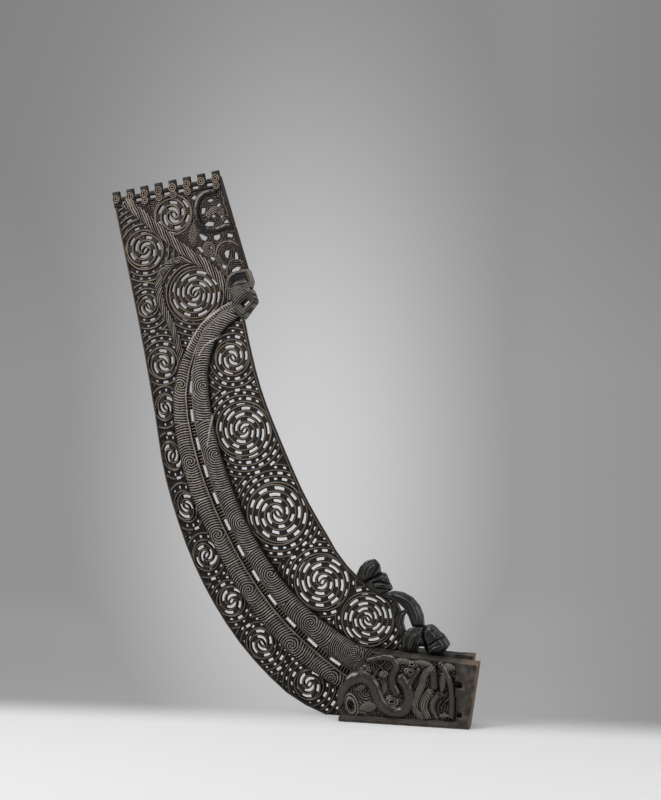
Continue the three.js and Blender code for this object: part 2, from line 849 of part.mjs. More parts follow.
function heelBlock() {
  const half = HEEL_THICKNESS / 2;
  const ground = half - RELIEF_DEPTH;
  const above = HEEL_TOP_AFT + PAST;
  let block = plate(heelOutline, HEEL_THICKNESS);
  const sunk = [
    [HEEL_AFT - PAST, RELIEF_SILL],
    [RELIEF_FORE, RELIEF_SILL],
    [RELIEF_FORE, heelTopAt(RELIEF_FORE) - RELIEF_TOP_STRIP],
    [RELIEF_AFT, heelTopAt(RELIEF_AFT) - RELIEF_TOP_STRIP],
    [HEEL_NECK, above],
    [HEEL_AFT - PAST, above],
  ];
  block = block.subtract(plateBetween(sunk, -half - PAST, -ground));
  block = block.subtract(plateBetween(sunk, ground, half + PAST));
  const groove = rectangle(HULL_GROOVE_AFT, -PAST, HEEL_FORE_TOP + PAST, above);
  block = block.subtract(plate(groove, HULL_GROOVE_WIDTH));
  const farEnd = [
    [HEEL_FORE_FOOT - HEEL_FAR_STEP, -PAST],
    [HEEL_FORE_TOP + PAST, -PAST],
    [HEEL_FORE_TOP + PAST, above],
    [HEEL_FORE_TOP - HEEL_FAR_STEP, above],
  ];
  block = block.subtract(plateBetween(farEnd, 0, half + PAST));
  for (const { fore, height, size } of [UPPER_LASHING_HOLE, LOWER_LASHING_HOLE]) {
    const hole = squareAt([HULL_GROOVE_AFT + fore, height], size, size);
    block = block.subtract(plate(hole, HEEL_THICKNESS + PAST));
  }
  const { fore, height, length, width } = FAR_LASHING_SLOT;
  const slot = squareAt([HULL_GROOVE_AFT + fore, height], length, width);
  return largestOf(block.subtract(plateBetween(slot, 0, half + PAST)));
}

function heelTopAt(x) {
  return HEEL_TOP_AFT + ((HEEL_TOP_FORE - HEEL_TOP_AFT) * (x - HEEL_NECK)) / (HEEL_FORE_TOP - HEEL_NECK);
}

function onRelief([x, share]) {
  return [x, RELIEF_SILL + share * (heelTopAt(x) - RELIEF_TOP_STRIP - RELIEF_SILL)];
}

// A round limb that follows a route at one depth, with flats that face the block
function limb(route, diameter, depth, grow) {
  const line = curveThrough(route, Math.round(route.length * LIMB_STEPS_PER_POINT));
  const normals = normalsOf(line);
  const positions = [];
  line.forEach(([x, z], i) => {
    const atEnd = i === 0 ? -1 : i === line.length - 1 ? 1 : 0;
    const along = [normals[i][1] * grow * atEnd, -normals[i][0] * grow * atEnd];
    for (let j = 0; j < LIMB_SIDES; j++) {
      const turn = (2 * Math.PI * (j + 0.5)) / LIMB_SIDES + Math.PI / 2;
      const r = diameter / 2 + grow;
      positions.push(
        x + along[0] + normals[i][0] * r * Math.cos(turn),
        depth + r * Math.sin(turn),
        z + along[1] + normals[i][1] * r * Math.cos(turn),
      );
    }
  });
  const index = [];
  for (let i = 0; i < line.length - 1; i++) {
    for (let j = 0; j < LIMB_SIDES; j++) {
      const a = i * LIMB_SIDES + j;
      const b = i * LIMB_SIDES + ((j + 1) % LIMB_SIDES);
      index.push(a, b, a + LIMB_SIDES, b, b + LIMB_SIDES, a + LIMB_SIDES);
    }
  }
  const last = (line.length - 1) * LIMB_SIDES;
  for (let j = 1; j < LIMB_SIDES - 1; j++) {
    index.push(0, j + 1, j);
    index.push(last, last + j, last + j + 1);
  }
  return solidFromLoop(positions, index);
}

const groundDepth = HEEL_THICKNESS / 2 - RELIEF_DEPTH;
const limbCentre = (diameter) => groundDepth + SEAT + (diameter / 2) * Math.cos(Math.PI / LIMB_SIDES);
const heelCore = plate(offsetRing(closed(heelOutline), -SEAT), 2 * groundDepth);
place("heel_block", heelBlock(), heelCore, wornWood);

const serpentRoute = SERPENT_ROUTE.map(onRelief);
const neckRoute = SERPENT_NECK_ROUTE.map(onRelief);

for (const [side, sign] of [
  ["near", -1],
  ["far", 1],
]) {
  const limbDepth = sign * limbCentre(SERPENT_DIAMETER);
  const neckDepth = sign * limbCentre(SERPENT_NECK_DIAMETER);
  const serpent = limb(serpentRoute, SERPENT_DIAMETER, limbDepth, 0);
  const around = limb(serpentRoute, SERPENT_DIAMETER, limbDepth, SEAT);
  place(`serpent_${side}`, serpent, around, rubbedWood);
  const neck = limb(neckRoute, SERPENT_NECK_DIAMETER, neckDepth, 0);
  const aroundNeck = limb(neckRoute, SERPENT_NECK_DIAMETER, neckDepth, SEAT);
  place(`serpent_neck_${side}`, fitted(neck), aroundNeck, rubbedWood);
  const near = groundDepth + SEAT;
  const far = HEEL_THICKNESS / 2;
  const depths = [sign * near, sign * far].sort((a, b) => a - b);
  let mask = plateBetween(MASK_OUTLINE.map(onRelief), ...depths);
  for (const { centre, radius, stretch, angle } of MASK_EYES) {
    const turn = THREE.MathUtils.degToRad(angle);
    const eye = ellipseOutline(onRelief(centre), radius, stretch, turn, MASK_EYE_STEPS);
    mask = mask.subtract(plate(eye, HEEL_THICKNESS + PAST));
  }
  place(`mask_${side}`, fitted(mask), null, rubbedWood);
}

place("rib_head", ribHead(), grownPlate(RIB_HEAD_OUTLINE, RIB_HEAD_THICKNESS), rubbedWood);
const ribs = [
  ["outer_rib", -1, outerRibWidth],
  ["inner_rib", 1, innerRibWidth],
].map(([name, side, widthAt]) => [name, fitted(ribSolid(side, widthAt, 0)), ribSolid(side, widthAt, SEAT)]);
for (const [name, solid, grown] of ribs) place(name, solid, grown, rubbedWood);

const aroundCrest = plate(
  crestBox(-SEAT, crestFrame().length + SEAT, -CREST_DEPTH - SEAT, MERLON_HEIGHT + SEAT),
  CREST_THICKNESS + 2 * SEAT,
);
place("crest_rail", crestRail(), aroundCrest);
place(
  "tongue",
  fitted(plate(TONGUE_OUTLINE, TONGUE_THICKNESS, FIGURE_BEVEL)),
  grownPlate(TONGUE_OUTLINE, TONGUE_THICKNESS),
  rubbedWood,
);
const crownLimbLine = curveThrough(CROWN_LIMB_ROUTE, 20);
place(
  "diagonal_band",
  fitted(plate(bandOutline(diagonalLine, DIAGONAL_WIDTH), BAND_THICKNESS)),
  plate(grownBand(diagonalLine, DIAGONAL_WIDTH), BAND_THICKNESS + 2 * SEAT),
);
place(
  "scroll_band",
  fitted(plate(bandOutline(scrollBandLine, SCROLL_BAND_WIDTH), BAND_THICKNESS)),
  plate(grownBand(scrollBandLine, SCROLL_BAND_WIDTH), BAND_THICKNESS + 2 * SEAT),
);
place(
  "crown_limb",
  fitted(plate(bandOutline(crownLimbLine, CROWN_LIMB_WIDTH), CROWN_LIMB_THICKNESS)),
  plate(grownBand(crownLimbLine, CROWN_LIMB_WIDTH), CROWN_LIMB_THICKNESS + 2 * SEAT),
  rubbedWood,
);

// Ladder between the ribs, with a row of through slots

function ribWeb() {
  const first = Math.round(RIB_WEB_START * RIB_STATIONS);
  const strip = gapLine.slice(first);
  const half = (i) => gapHalf((first + i) / RIB_STATIONS) - SEAT;
  const normals = normalsOf(gapLine).slice(first);
  const side = (sign) =>
    strip.map(([x, z], i) => [x + sign * half(i) * normals[i][0], z + sign * half(i) * normals[i][1]]);
  let web = plate([...side(1), ...side(-1).reverse()], RIB_WEB_THICKNESS);
  for (let i = 0; i < WEB_SLOT_COUNT; i++) {
    const share = WEB_SLOT_FIRST + ((WEB_SLOT_LAST - WEB_SLOT_FIRST) * i) / (WEB_SLOT_COUNT - 1);
    const [x, z] = pointAt(gapLine, share);
    const [nx, nz] = normals[Math.max(0, Math.round(share * RIB_STATIONS) - first)];
    const slot = squareAt([x, z], WEB_SLOT_LENGTH, WEB_SLOT_WIDTH, Math.atan2(-nx, nz));
    web = web.subtract(plate(slot, RIB_WEB_THICKNESS + PAST));
  }
  return web;
}

place("rib_web", fitted(ribWeb()), null);

// Figures along the fore edge above the heel

for (const [name, outline, thickness, bevel] of [
  ["upper_head", UPPER_HEAD_OUTLINE, UPPER_HEAD_THICKNESS, FIGURE_BEVEL],
  ["arm", ARM_OUTLINE, ARM_THICKNESS, FIGURE_BEVEL],
  ["lower_head", LOWER_HEAD_OUTLINE, LOWER_HEAD_THICKNESS, FIGURE_BEVEL],
  ["hand", HAND_OUTLINE, HAND_THICKNESS, 0],
]) {
  place(name, fitted(plate(outline, thickness, bevel)), grownPlate(outline, thickness), rubbedWood);
}

// Panels with a socket for each spiral and rows of fretwork openings that ripple round the spirals

function insideOutline(outline, [x, z]) {
  let inside = false;
  outline.forEach(([ax, az], i) => {
    const [bx, bz] = outline[(i + 1) % outline.length];
    if (az > z !== bz > z && x < ((bx - ax) * (z - az)) / (bz - az) + ax) inside = !inside;
  });
  return inside;
}

function spiralDistance({ centre, radius, stretch, angle }, [x, z]) {
  const dx = x - centre[0];
  const dz = z - centre[1];
  const along = (dx * Math.cos(angle) + dz * Math.sin(angle)) / stretch;
  const across = -dx * Math.sin(angle) + dz * Math.cos(angle);
  return Math.hypot(along, across) - radius;
}

function fretPlaces(outline, lines, sockets) {
  const places = [];
  const clear = FRET_HOLE_WIDTH / 2 + FRET_WEB;
  for (const socket of sockets) {
    for (let row = 0; row < FRET_ROWS; row++) {
      const out = clear + SEAT + row * (FRET_HOLE_WIDTH + FRET_WEB);
      const reach = socket.radius + out;
      const count = Math.floor((2 * Math.PI * reach * socket.stretch) / (FRET_HOLE_LENGTH + FRET_WEB));
      for (let i = 0; i < count; i++) {
        const turn = (2 * Math.PI * (i + row / 2)) / count;
        const along = (socket.radius * socket.stretch + out) * Math.cos(turn);
        const across = reach * Math.sin(turn);
        const c = Math.cos(socket.angle);
        const s = Math.sin(socket.angle);
        const at = [socket.centre[0] + along * c - across * s, socket.centre[1] + along * s + across * c];
        const heading = socket.angle + turn + Math.PI / 2;
        const ends = [-1, 1].map((k) => [
          at[0] + (k * FRET_HOLE_LENGTH * Math.cos(heading)) / 2,
          at[1] + (k * FRET_HOLE_LENGTH * Math.sin(heading)) / 2,
        ]);
        const probes = [at, ...ends];
        const free = probes.every(
          (p) =>
            insideOutline(outline, p) &&
            lines.every((line) => distanceTo(line, p) > clear) &&
            sockets.every((other) => spiralDistance(other, p) > clear) &&
            places.every((q) => distanceTo(q.ends, p) > clear + FRET_HOLE_WIDTH / 2),
        );
        if (free) places.push({ at, heading, ends });
      }
    }
  }
  return places;
}

function panel({ outline, rails, openings, rippled }, lines, sockets) {
  let solid = plate(outline, PANEL_THICKNESS);
  for (const rail of rails) solid = solid.add(plate(bandOutline(rail, RAIL_WIDTH), RAIL_THICKNESS));
  for (const socket of sockets) solid = solid.subtract(spiralSocket(socket));
  for (const opening of openings) solid = solid.subtract(plate(opening, RAIL_THICKNESS + PAST));
  for (const { at, heading } of rippled ? fretPlaces(outline, lines, sockets) : []) {
    const hole = squareAt(at, FRET_HOLE_LENGTH, FRET_HOLE_WIDTH, heading);
    solid = solid.subtract(plate(hole, RAIL_THICKNESS + PAST));
  }
  return fitted(solid);
}

const halfRail = (edge, sign) => offsetLine(edge, (sign * RAIL_WIDTH) / 2);
const shareOn = (line, point) => Math.round(nearestShare(line, point) * (line.length - 1));
const scrollEnd = scrollBandLine[scrollBandLine.length - 1];
const scrollJoin = shareOn(gapLine, scrollEnd);
const scrollStart = shareOn(diagonalLine, scrollBandLine[0]);

const headCorner = RIB_HEAD_OUTLINE[3];
const lowerHeadCorner = LOWER_HEAD_OUTLINE[0];

// Each panel's blank, the raised rail on its free edge, its own openings, and whether the fret ripples
const panels = {
  aft_panel: {
    outline: [
      ...aftEdge,
      [HEEL_AFT + BLANK_LAP, 0],
      ...gapLine.slice(scrollJoin).reverse(),
      ...[...scrollBandLine].reverse(),
      ...diagonalLine.slice(0, scrollStart).reverse(),
    ],
    rails: [halfRail(aftEdge, 1)],
    openings: [],
    rippled: true,
  },
  heart_panel: {
    outline: [
      ...gapLine.slice(0, scrollJoin + 1).reverse(),
      ...diagonalLine.slice(scrollStart).reverse(),
      ...scrollBandLine,
    ],
    rails: [],
    openings: HEART_OPENINGS,
    rippled: true,
  },
  crown_panel: {
    outline: [
      ...[...diagonalLine].reverse(),
      crestFrame().at(CREST_BAR, -CREST_BAR),
      ...foreEdgeUpper,
      [headCorner[0] - BLANK_LAP, headCorner[1] - BLANK_LAP],
    ],
    rails: [halfRail(foreEdgeUpper, -1)],
    openings: CROWN_OPENINGS,
    rippled: false,
  },
  fore_panel: {
    outline: [
      [RIB_HEAD_OUTLINE[6][0], gapLine[0][1]],
      ...foreEdgeLower,
      [lowerHeadCorner[0] + BLANK_LAP, ARM_OUTLINE[8][1]],
      [lowerHeadCorner[0] + BLANK_LAP, heelTopAt(0) - BLANK_LAP],
      [HEEL_NECK, HEEL_TOP_AFT - BLANK_LAP],
      ...[...gapLine].reverse(),
    ],
    rails: [halfRail(foreEdgeLower, -1)],
    openings: [],
    rippled: true,
  },
};

for (const [name, shape] of Object.entries(panels)) {
  place(name, panel(shape, panelLines[name], Object.values(spirals[name])), null);
}
for (const list of Object.values(spirals)) {
  for (const [spiral, shape] of Object.entries(list)) place(spiral, spiralSolid(shape), null);
}

const sternpost = new THREE.Group();
for (const { name, solid, material } of placed) {
  const mesh = new THREE.Mesh(geometryFrom(solid), material);
  mesh.name = name;
  sternpost.add(mesh);
}

export default sternpost;
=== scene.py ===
"""A carved canoe sternpost: a pierced slab with double spirals, two ribs and a carved heel.

Run as a script, it dresses the fixed frame of the object. Every kind of piece has its own operator,
and the panel in the 3D view's sidebar lists them in the order in which they are made.
"""

import math

import bpy
import numpy as np
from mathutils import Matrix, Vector
from mathutils.bvhtree import BVHTree


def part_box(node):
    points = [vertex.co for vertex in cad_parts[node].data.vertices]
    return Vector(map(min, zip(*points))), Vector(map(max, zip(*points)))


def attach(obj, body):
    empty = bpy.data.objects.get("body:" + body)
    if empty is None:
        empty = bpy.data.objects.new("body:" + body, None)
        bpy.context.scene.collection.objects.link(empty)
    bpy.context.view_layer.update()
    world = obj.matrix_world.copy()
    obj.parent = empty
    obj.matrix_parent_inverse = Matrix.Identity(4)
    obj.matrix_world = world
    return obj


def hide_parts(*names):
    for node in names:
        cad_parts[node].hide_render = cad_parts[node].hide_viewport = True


bl_info = {
    "name": "Carved canoe sternpost",
    "version": (1, 0, 0),
    "blender": (4, 5, 0),
    "location": "View3D > Sidebar > Sternpost",
    "description": "Carves a pierced canoe sternpost round its fixed frame",
    "category": "Object",
}

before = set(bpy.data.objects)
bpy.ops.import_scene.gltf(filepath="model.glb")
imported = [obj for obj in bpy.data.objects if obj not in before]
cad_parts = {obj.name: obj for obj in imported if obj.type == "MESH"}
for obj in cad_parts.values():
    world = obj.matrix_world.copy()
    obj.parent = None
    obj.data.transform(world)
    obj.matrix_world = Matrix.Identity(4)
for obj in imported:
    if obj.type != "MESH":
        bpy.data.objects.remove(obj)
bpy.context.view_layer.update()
MM = 0.001

# Lengths are in millimetres in the carving, and in metres in meshes, node trees and settings

# Pierced double spirals: the frame's own pitch, and the finer one of some of them
FULL_PITCH = 21
FINER_PITCH = {
    "fore_spiral_1": 18.5,
    "fore_spiral_2": 18.5,
    "fore_spiral_4": 19,
    "fore_spiral_5": 16.6,
    "heart_spiral": 18,
}
FULL_SPIRAL_RADIUS = 60
FINEST_RIDGE = 0.75
RIDGE_SHARE = 0.53
# The carved spirals are wider than the frame's, and run under the thicker members beside them
USUAL_GROWTH = 9
GROWTH = {"heart_spiral": 17, "crown_spiral": 20}
EYE_TURN = 2.0
EYE_HEADING = 2.2
EYE_SHAPE = (1.2, 0.6, 1)
BRIDGE_LENGTH = 25
SLOT_LENGTH = 30
FIRST_BRIDGE_TURN = 2.7
TEETH_PER_BRIDGE = 4
# How deep in the slab the crests lie that are lightened, from none to full, as shares of its
# half; their light is wear and a painted highlight
CREST_DEPTHS = (0.88, 0.985)
SHORTEST_BRIDGE = 0.65
FULL_BRIDGE_REACH = 170
BRIDGE_UNEVENNESS = 0.12

# Fretwork between the spirals: rows of slots that run on round them
FRET_FIRST_ROW = 14.8
FRET_PITCH = 19
FRET_SPACING = 30
FRET_SMALL_SLOT = 13
FRET_HALF_WIDTH = 3.6
FRET_EDGE = 4
FRET_SEAM = 8
SPIRAL_OVERLAP = 1.5

# Ridges between those rows: how far from a row they start, how wide they are, how thick half their
# ground is, how high crests and notches stand on it, and the pitch of the notches
FRET_RIDGE_START = 4.4
FRET_RIDGE_WIDTH = 10.2
FRET_GROUND = 4.8
FRET_CREST = 4.4
FRET_NOTCH = 2.6
FRET_NOTCH_PITCH = 6.2

# A plate whose half thickness is below PANEL_HALF is pierced, and from RAIL_HALF on it is a rail
PANEL_HALF = 10
RAIL_HALF = (9, 12)

# Long lines of the side view, each from the top down
RIB_GAP_LINE = [
    (-545, 1346), (-615, 1305), (-665, 1264), (-714, 1158), (-727, 1064), (-724, 978), (-684, 813),
    (-614, 640), (-513, 461), (-388, 302), (-221, 165), (-130, 116),
]
DIAGONAL_LINE = [
    (-962, 1690), (-908, 1652), (-836, 1590), (-747, 1520), (-674, 1472), (-612, 1412),
    (-578, 1354),
]
SCROLL_LINE = [
    (-716, 1488), (-780, 1486), (-824, 1452), (-838, 1396), (-826, 1342), (-801, 1290),
    (-780, 1243), (-762, 1190), (-755, 1130),
]

# Surface spirals: the x and z of the middle, and the pitch of the ripples round it
OUTER_RIB_SPIRALS = [
    (-688, 1239, 8.5), (-752, 1071, 8.5), (-716, 815, 8.5), (-619, 576, 8.5), (-512, 399, 8.5),
    (-367, 226, 8.5), (-232, 123, 8),
]
INNER_RIB_SPIRALS = [
    (-671, 1067, 8), (-629, 843, 8), (-536, 619, 8), (-437, 454, 8), (-302, 300, 8),
    (-159, 212, 6.5),
]
INNER_RIB_SEAMS = [
    [(-638, 1086), (-642, 1010), (-648, 934), (-656, 870)],
    [(-600, 1248), (-632, 1225), (-668, 1199), (-688, 1169)],
]
OUTER_RIB_SEAMS = [[(-620, 1318), (-668, 1284), (-706, 1240), (-730, 1190)]]
SCROLL_SPIRALS = [(-775, 1490, 6.5), (-815, 1450, 6.5)]
SCROLL_SPIRAL_RADIUS = 19

# Ribs: how wide the bevel beside their gap is, what share it takes off above BEVEL_FLOOR, how wide
# its rubbed lip reaches, and the size of the raised seams
BEVEL_REACH = 26
BEVEL_SHARE = 0.68
BEVEL_FLOOR = 12
LIP_REACH = 20
SEAM_HALF = 3.4
SEAM_HEIGHT = 1.5
RIPPLE_CREST = 0.89

# Hole of the rib head: its middle, half sizes and angle, then the pitch of the ridges round it,
# how thick half its lip is, and how far from it the head is full
RIB_HEAD_HOLE = (-530, 1340)
RIB_HEAD_HOLE_HALF = (12.5, 7)
RIB_HEAD_HOLE_ANGLE = math.radians(42)
RIB_HEAD_PITCH = 6.5
RIB_HEAD_LIP = 9
RIB_HEAD_RISE = 30

# Tongue: the width of its rim, and how wide and deep the hollow falls away from there
TONGUE_RIM = 9
HOLLOW_RADIUS = 22
HOLLOW_DEPTH = 12

# Crest rail: the top corners of its bar, its teeth and the ring bosses on it
CREST_LEFT = Vector((-1004, 0, 1702))
CREST_RIGHT = Vector((-624, 0, 1762))
MERLON_COUNT = 8
MERLON_WIDTH = 26
# Rows of bosses: on which teeth, how far below the corners, and their radius
BOSS_ROWS = ((range(MERLON_COUNT), 5, 14), ((1, 2, 3, 4, 5, 7), 29, 12.5))
BOSS_HALF_DEPTH = 13.5
# A boss as shares of its radius and half depth: its rings, their tube, and its disc
BOSS_RINGS = (0.86, 0.4)
BOSS_TUBE = 0.26
BOSS_DISC = {"Radius": 0.9, "Depth": 1.45}

# Heel: where its sunk face and its groove lie
HEEL_HALF = 85
HEEL_GROUND = 59
GROOVE_HALF = 28
GROOVE_END = 158
# Where the carving of its faces fades out towards the fore end, and where its edges are worn
HEEL_CARVED_END = (166, 196)
HEEL_WORN_END = (165, 225)
HEEL_CARVED_FACE = [
    (-200, 10), (176, 6), (176, 203), (-76, 222.5), (-108, 232), (-203, 96),
]

# Figures on the fore edge: how far the edge is rounded, then the cuts and the ribs on the body,
# each with its line, width and depth
FIGURES = {
    "upper_head": (
        24,
        [
            ([(-128, 436), (-105, 450), (-87, 458), (-70, 470)], 8, 12),
            ([(-87, 500), (-88, 480), (-100, 460)], 6, 7),
            ([(-50, 434), (-76, 440), (-100, 436)], 6, 8),
            ([(-40, 410), (-64, 418), (-88, 418)], 5, 6),
        ],
        [
            ([(-130, 452), (-129, 472), (-118, 490), (-99, 502)], 2.6, 2.5),
            ([(-120, 452), (-117, 470), (-108, 484), (-94, 492)], 2.4, 2),
            ([(-46, 428), (-68, 432), (-92, 428)], 2.4, 2),
            ([(-50, 446), (-66, 456), (-84, 452)], 2.4, 2),
        ],
    ),
    "arm": (
        20,
        [([(-50, 395), (-18, 386), (4, 369), (18, 343), (26, 312)], 3, 4)],
        [([(-32, 400), (4, 388), (25, 371), (38, 345), (45, 319)], 2.2, 1.6)],
    ),
    "lower_head": (
        26,
        [
            ([(68, 304), (64, 274), (74, 240), (70, 216)], 7, 12),
            ([(84, 246), (106, 262), (132, 272)], 5, 6),
            ([(9, 228), (11, 260), (27, 283), (52, 295)], 4, 4),
            ([(31, 227), (36, 252), (47, 272)], 4, 4),
        ],
        [
            ([(1, 226), (3, 262), (20, 290), (50, 303)], 2.4, 2),
            ([(19, 227), (21, 251), (34, 275), (56, 287)], 2.4, 2),
            ([(42, 224), (46, 246), (56, 264)], 2.4, 2),
            ([(79, 214), (88, 228), (101, 239), (118, 245)], 2.4, 2),
        ],
    ),
    "hand": (
        12,
        [([(-20, 354), (-26, 334), (-34, 322)], 3.5, 5)],
        [
            ([(-31, 380), (-33, 356), (-34, 334)], 2.4, 2),
            ([(-38, 366), (-39, 348), (-36, 332)], 2.2, 1.6),
            ([(2, 345), (-10, 330), (-14, 312), (-10, 292)], 2.6, 2),
        ],
    ),
}

# Woods: the settings for the colours of body and crests, dust, roughness of body and crests,
# specular level, grain depth, and how much darker the foot and lighter the top is
WOODS = {
    "dark_wood": ("body_colour", "crest_colour", 0.15, 0.34, 0.28, 0.2, 0.3, 0.25),
    "inner_rib_wood": ("inner_rib_colour", "inner_crest_colour", 0.15, 0.28, 0.2, 0.24, 0.25, 0.3),
    "outer_rib_wood": ("outer_rib_colour", "outer_crest_colour", 0.15, 0.28, 0.2, 0.24, 0.25, 0.3),
    "figure_wood": ("inner_rib_colour", "figure_crest_colour", 0.1, 0.26, 0.2, 0.38, 0.2, 0.0),
    "band_wood": ("body_colour", "band_crest_colour", 0.1, 0.28, 0.2, 0.32, 0.2, 0.2),
    "heel_carving_wood": (
        "heel_carving_colour", "heel_crest_colour", 0.3, 0.25, 0.2, 0.5, 0.2, 0.0,
    ),
    "heel_wood": ("heel_colour", "heel_edge_colour", 0.9, 0.5, 0.45, 0.3, 0.6, 0.0),
}
# Smooth bodies are darkened a little toward the painted shade colour of the cuts
SMOOTH_DARKENING = -0.08
GRADIENT_HEIGHTS = (0.2, 1.5)
SLAB_RAKE = math.radians(22)
# Scales of the noises, and how far the grain is drawn out
FIBRE_SCALE = 160.0
TONE_SCALE = 9.0
WEAR_SCALE = 38.0
DUST_SCALE = 24.0
GRAIN_DRAW = (1, 1, 0.09)

# Stage, in metres: the camera, and each lamp's place, where it points, its size and its power
CAMERA_PLACE = (0.7364, -3.9389, 1.0208)
CAMERA_TURN = math.radians(14)
CAMERA_LENS = 56.25
SENSOR_WIDTH = 36
FLOOR_HALF = 6.0
SOFTBOXES = (
    ("key_softbox", (-2.6, -2.2, 3.0), (-0.4, 0, 0.8), (1.5, 2.0), 92),
    ("top_softbox", (0.2, -0.6, 3.4), (-0.4, 0, 0.6), (1.6, 1.6), 42),
    ("fore_softbox", (2.6, -1.8, 1.6), (-0.3, 0, 0.6), (1.2, 2.0), 34),
)

# Backdrop: where it lies from the camera, and the middle and half size of its light spot
BACKDROP_AHEAD = (-0.242, 0.970, 0)
BACKDROP_RIGHT = (0.970, 0.242, 0)
SPOT_ACROSS = (-0.02, 0.2)
SPOT_UP = (-0.064, 0.42)
FILL_STRENGTH = 0.13
# Its broad light, to the right, at the foot and at half height: from where to where, and how much
RIGHT_RISE = (-0.25, 0.15, 0.0, 0.1)
RIGHT_FALL = (0.17, 0.26, 0.0, 0.08)
FOOT_RISES = ((-0.15, -0.18, 0.0, 0.08), (-0.21, -0.24, 0.0, 0.05))
FOOT_END = (0.1, 0.26, 1.0, 0.0)
MIDDLE_RISE = (0.22, 0.02, 0.0, 0.15)

# Floor: from where to where it fades behind the object, and how far askew
FLOOR_FADE = (0.12, -0.18)
FLOOR_SLANT = -0.1

# Edges stay sharp past these angles, on carved plates and on what node trees make
CARVED_SHARP_ANGLE = math.radians(55)
SWEPT_SHARP_ANGLE = math.radians(38)
PATH_STEPS = 16
# How many sides a swept line has, and how many steps lie round a closed one
RIDGE_SIDES = 12
EYE_SIDES = 10
BOSS_SIDES = 8
RIM_STEPS = 80
EYE_STEPS = 24
BOSS_STEPS = 20
BESIDE = ((1, 0), (-1, 0), (0, 1), (0, -1))


# Small sums on arrays


def smooth(value, low, high):
    """0 below low, 1 above high, and an even slope between."""
    t = np.clip((value - low) / (high - low), 0, 1)
    return t * t * (3 - 2 * t)


def ridges(distance, pitch=1, sharpness=0.6):
    """0 in a V-cut groove and 1 on the rounded ridge between two."""
    return np.abs(np.sin(np.pi * distance / pitch)) ** sharpness


def rubbed(cut, sharpness=0.6):
    """A ridge's shading: painted shade in its groove, and a thin crest lit by wear and painted
    highlight.
    """
    return 1.95 * smooth(cut, sharpness, 1) - 0.95


def rounded(edge, radius):
    """0 at an edge and 1 from radius inwards, along a quarter circle."""
    t = np.clip(edge / radius, 0, 1)
    return np.sqrt(1 - (1 - t) ** 2)


def between(value, start, full, fading, end):
    """1 from full to fading, and 0 below start and above end."""
    return smooth(value, start, full) * (1 - smooth(value, fading, end))


def turned(x, z, centre, angle):
    """How far along a direction through a centre each point lies, and how far to its left."""
    dx, dz = x - centre[0], z - centre[1]
    c, s = math.cos(angle), math.sin(angle)
    return dx * c + dz * s, dz * c - dx * s


def wobble(x, z, length, seed=0.0):
    """A slow, even unsteadiness between -1 and 1, as a hand-held chisel gives."""
    a = np.sin(2 * np.pi * (0.83 * x + 0.55 * z) / length + 1.7 + seed)
    b = np.sin(2 * np.pi * (-0.47 * x + 0.91 * z) / length * 1.31 + 4.1 + 2 * seed)
    c = np.sin(2 * np.pi * (0.95 * x - 0.29 * z) / length * 1.77 + 2.9 + 3 * seed)
    return (a + b + c) / 3


class Path:
    """A smooth line through chosen points of the side view."""

    def __init__(self, points):
        p = np.array([points[0], *points, points[-1]], float)
        t = np.linspace(0, 1, PATH_STEPS, endpoint=False)[:, None]
        parts = [
            b + 0.5 * t * (c - a + t * (2 * a - 5 * b + 4 * c - d + t * (3 * b - a - 3 * c + d)))
            for a, b, c, d in zip(p, p[1:], p[2:], p[3:])
        ]
        self.points = np.vstack([*parts, p[-1:]])
        gaps = np.diff(self.points, axis=0)
        self.lengths = np.concatenate([[0], np.cumsum(np.linalg.norm(gaps, axis=1))])
        tangents = np.gradient(self.points, axis=0)
        self.tangents = tangents / np.linalg.norm(tangents, axis=1)[:, None]

    def locate(self, x, z):
        """How far along the line each point lies, and how far to its left."""
        along = np.empty(len(x))
        across = np.empty(len(x))
        for start in range(0, len(x), 4096):
            part = slice(start, start + 4096)
            flat = np.stack([x[part], z[part]], 1)
            nearest = ((flat[:, None] - self.points[None]) ** 2).sum(2).argmin(1)
            gap = flat - self.points[nearest]
            tangent = self.tangents[nearest]
            along[part] = self.lengths[nearest] + (gap * tangent).sum(1)
            across[part] = tangent[:, 0] * gap[:, 1] - tangent[:, 1] * gap[:, 0]
        return along, across

    def gap(self, along, across):
        """How far a located point is from the line, past its ends too."""
        return np.hypot(across, np.maximum(0, np.maximum(-along, along - self.lengths[-1])))

    def distance(self, x, z):
        return self.gap(*self.locate(x, z))


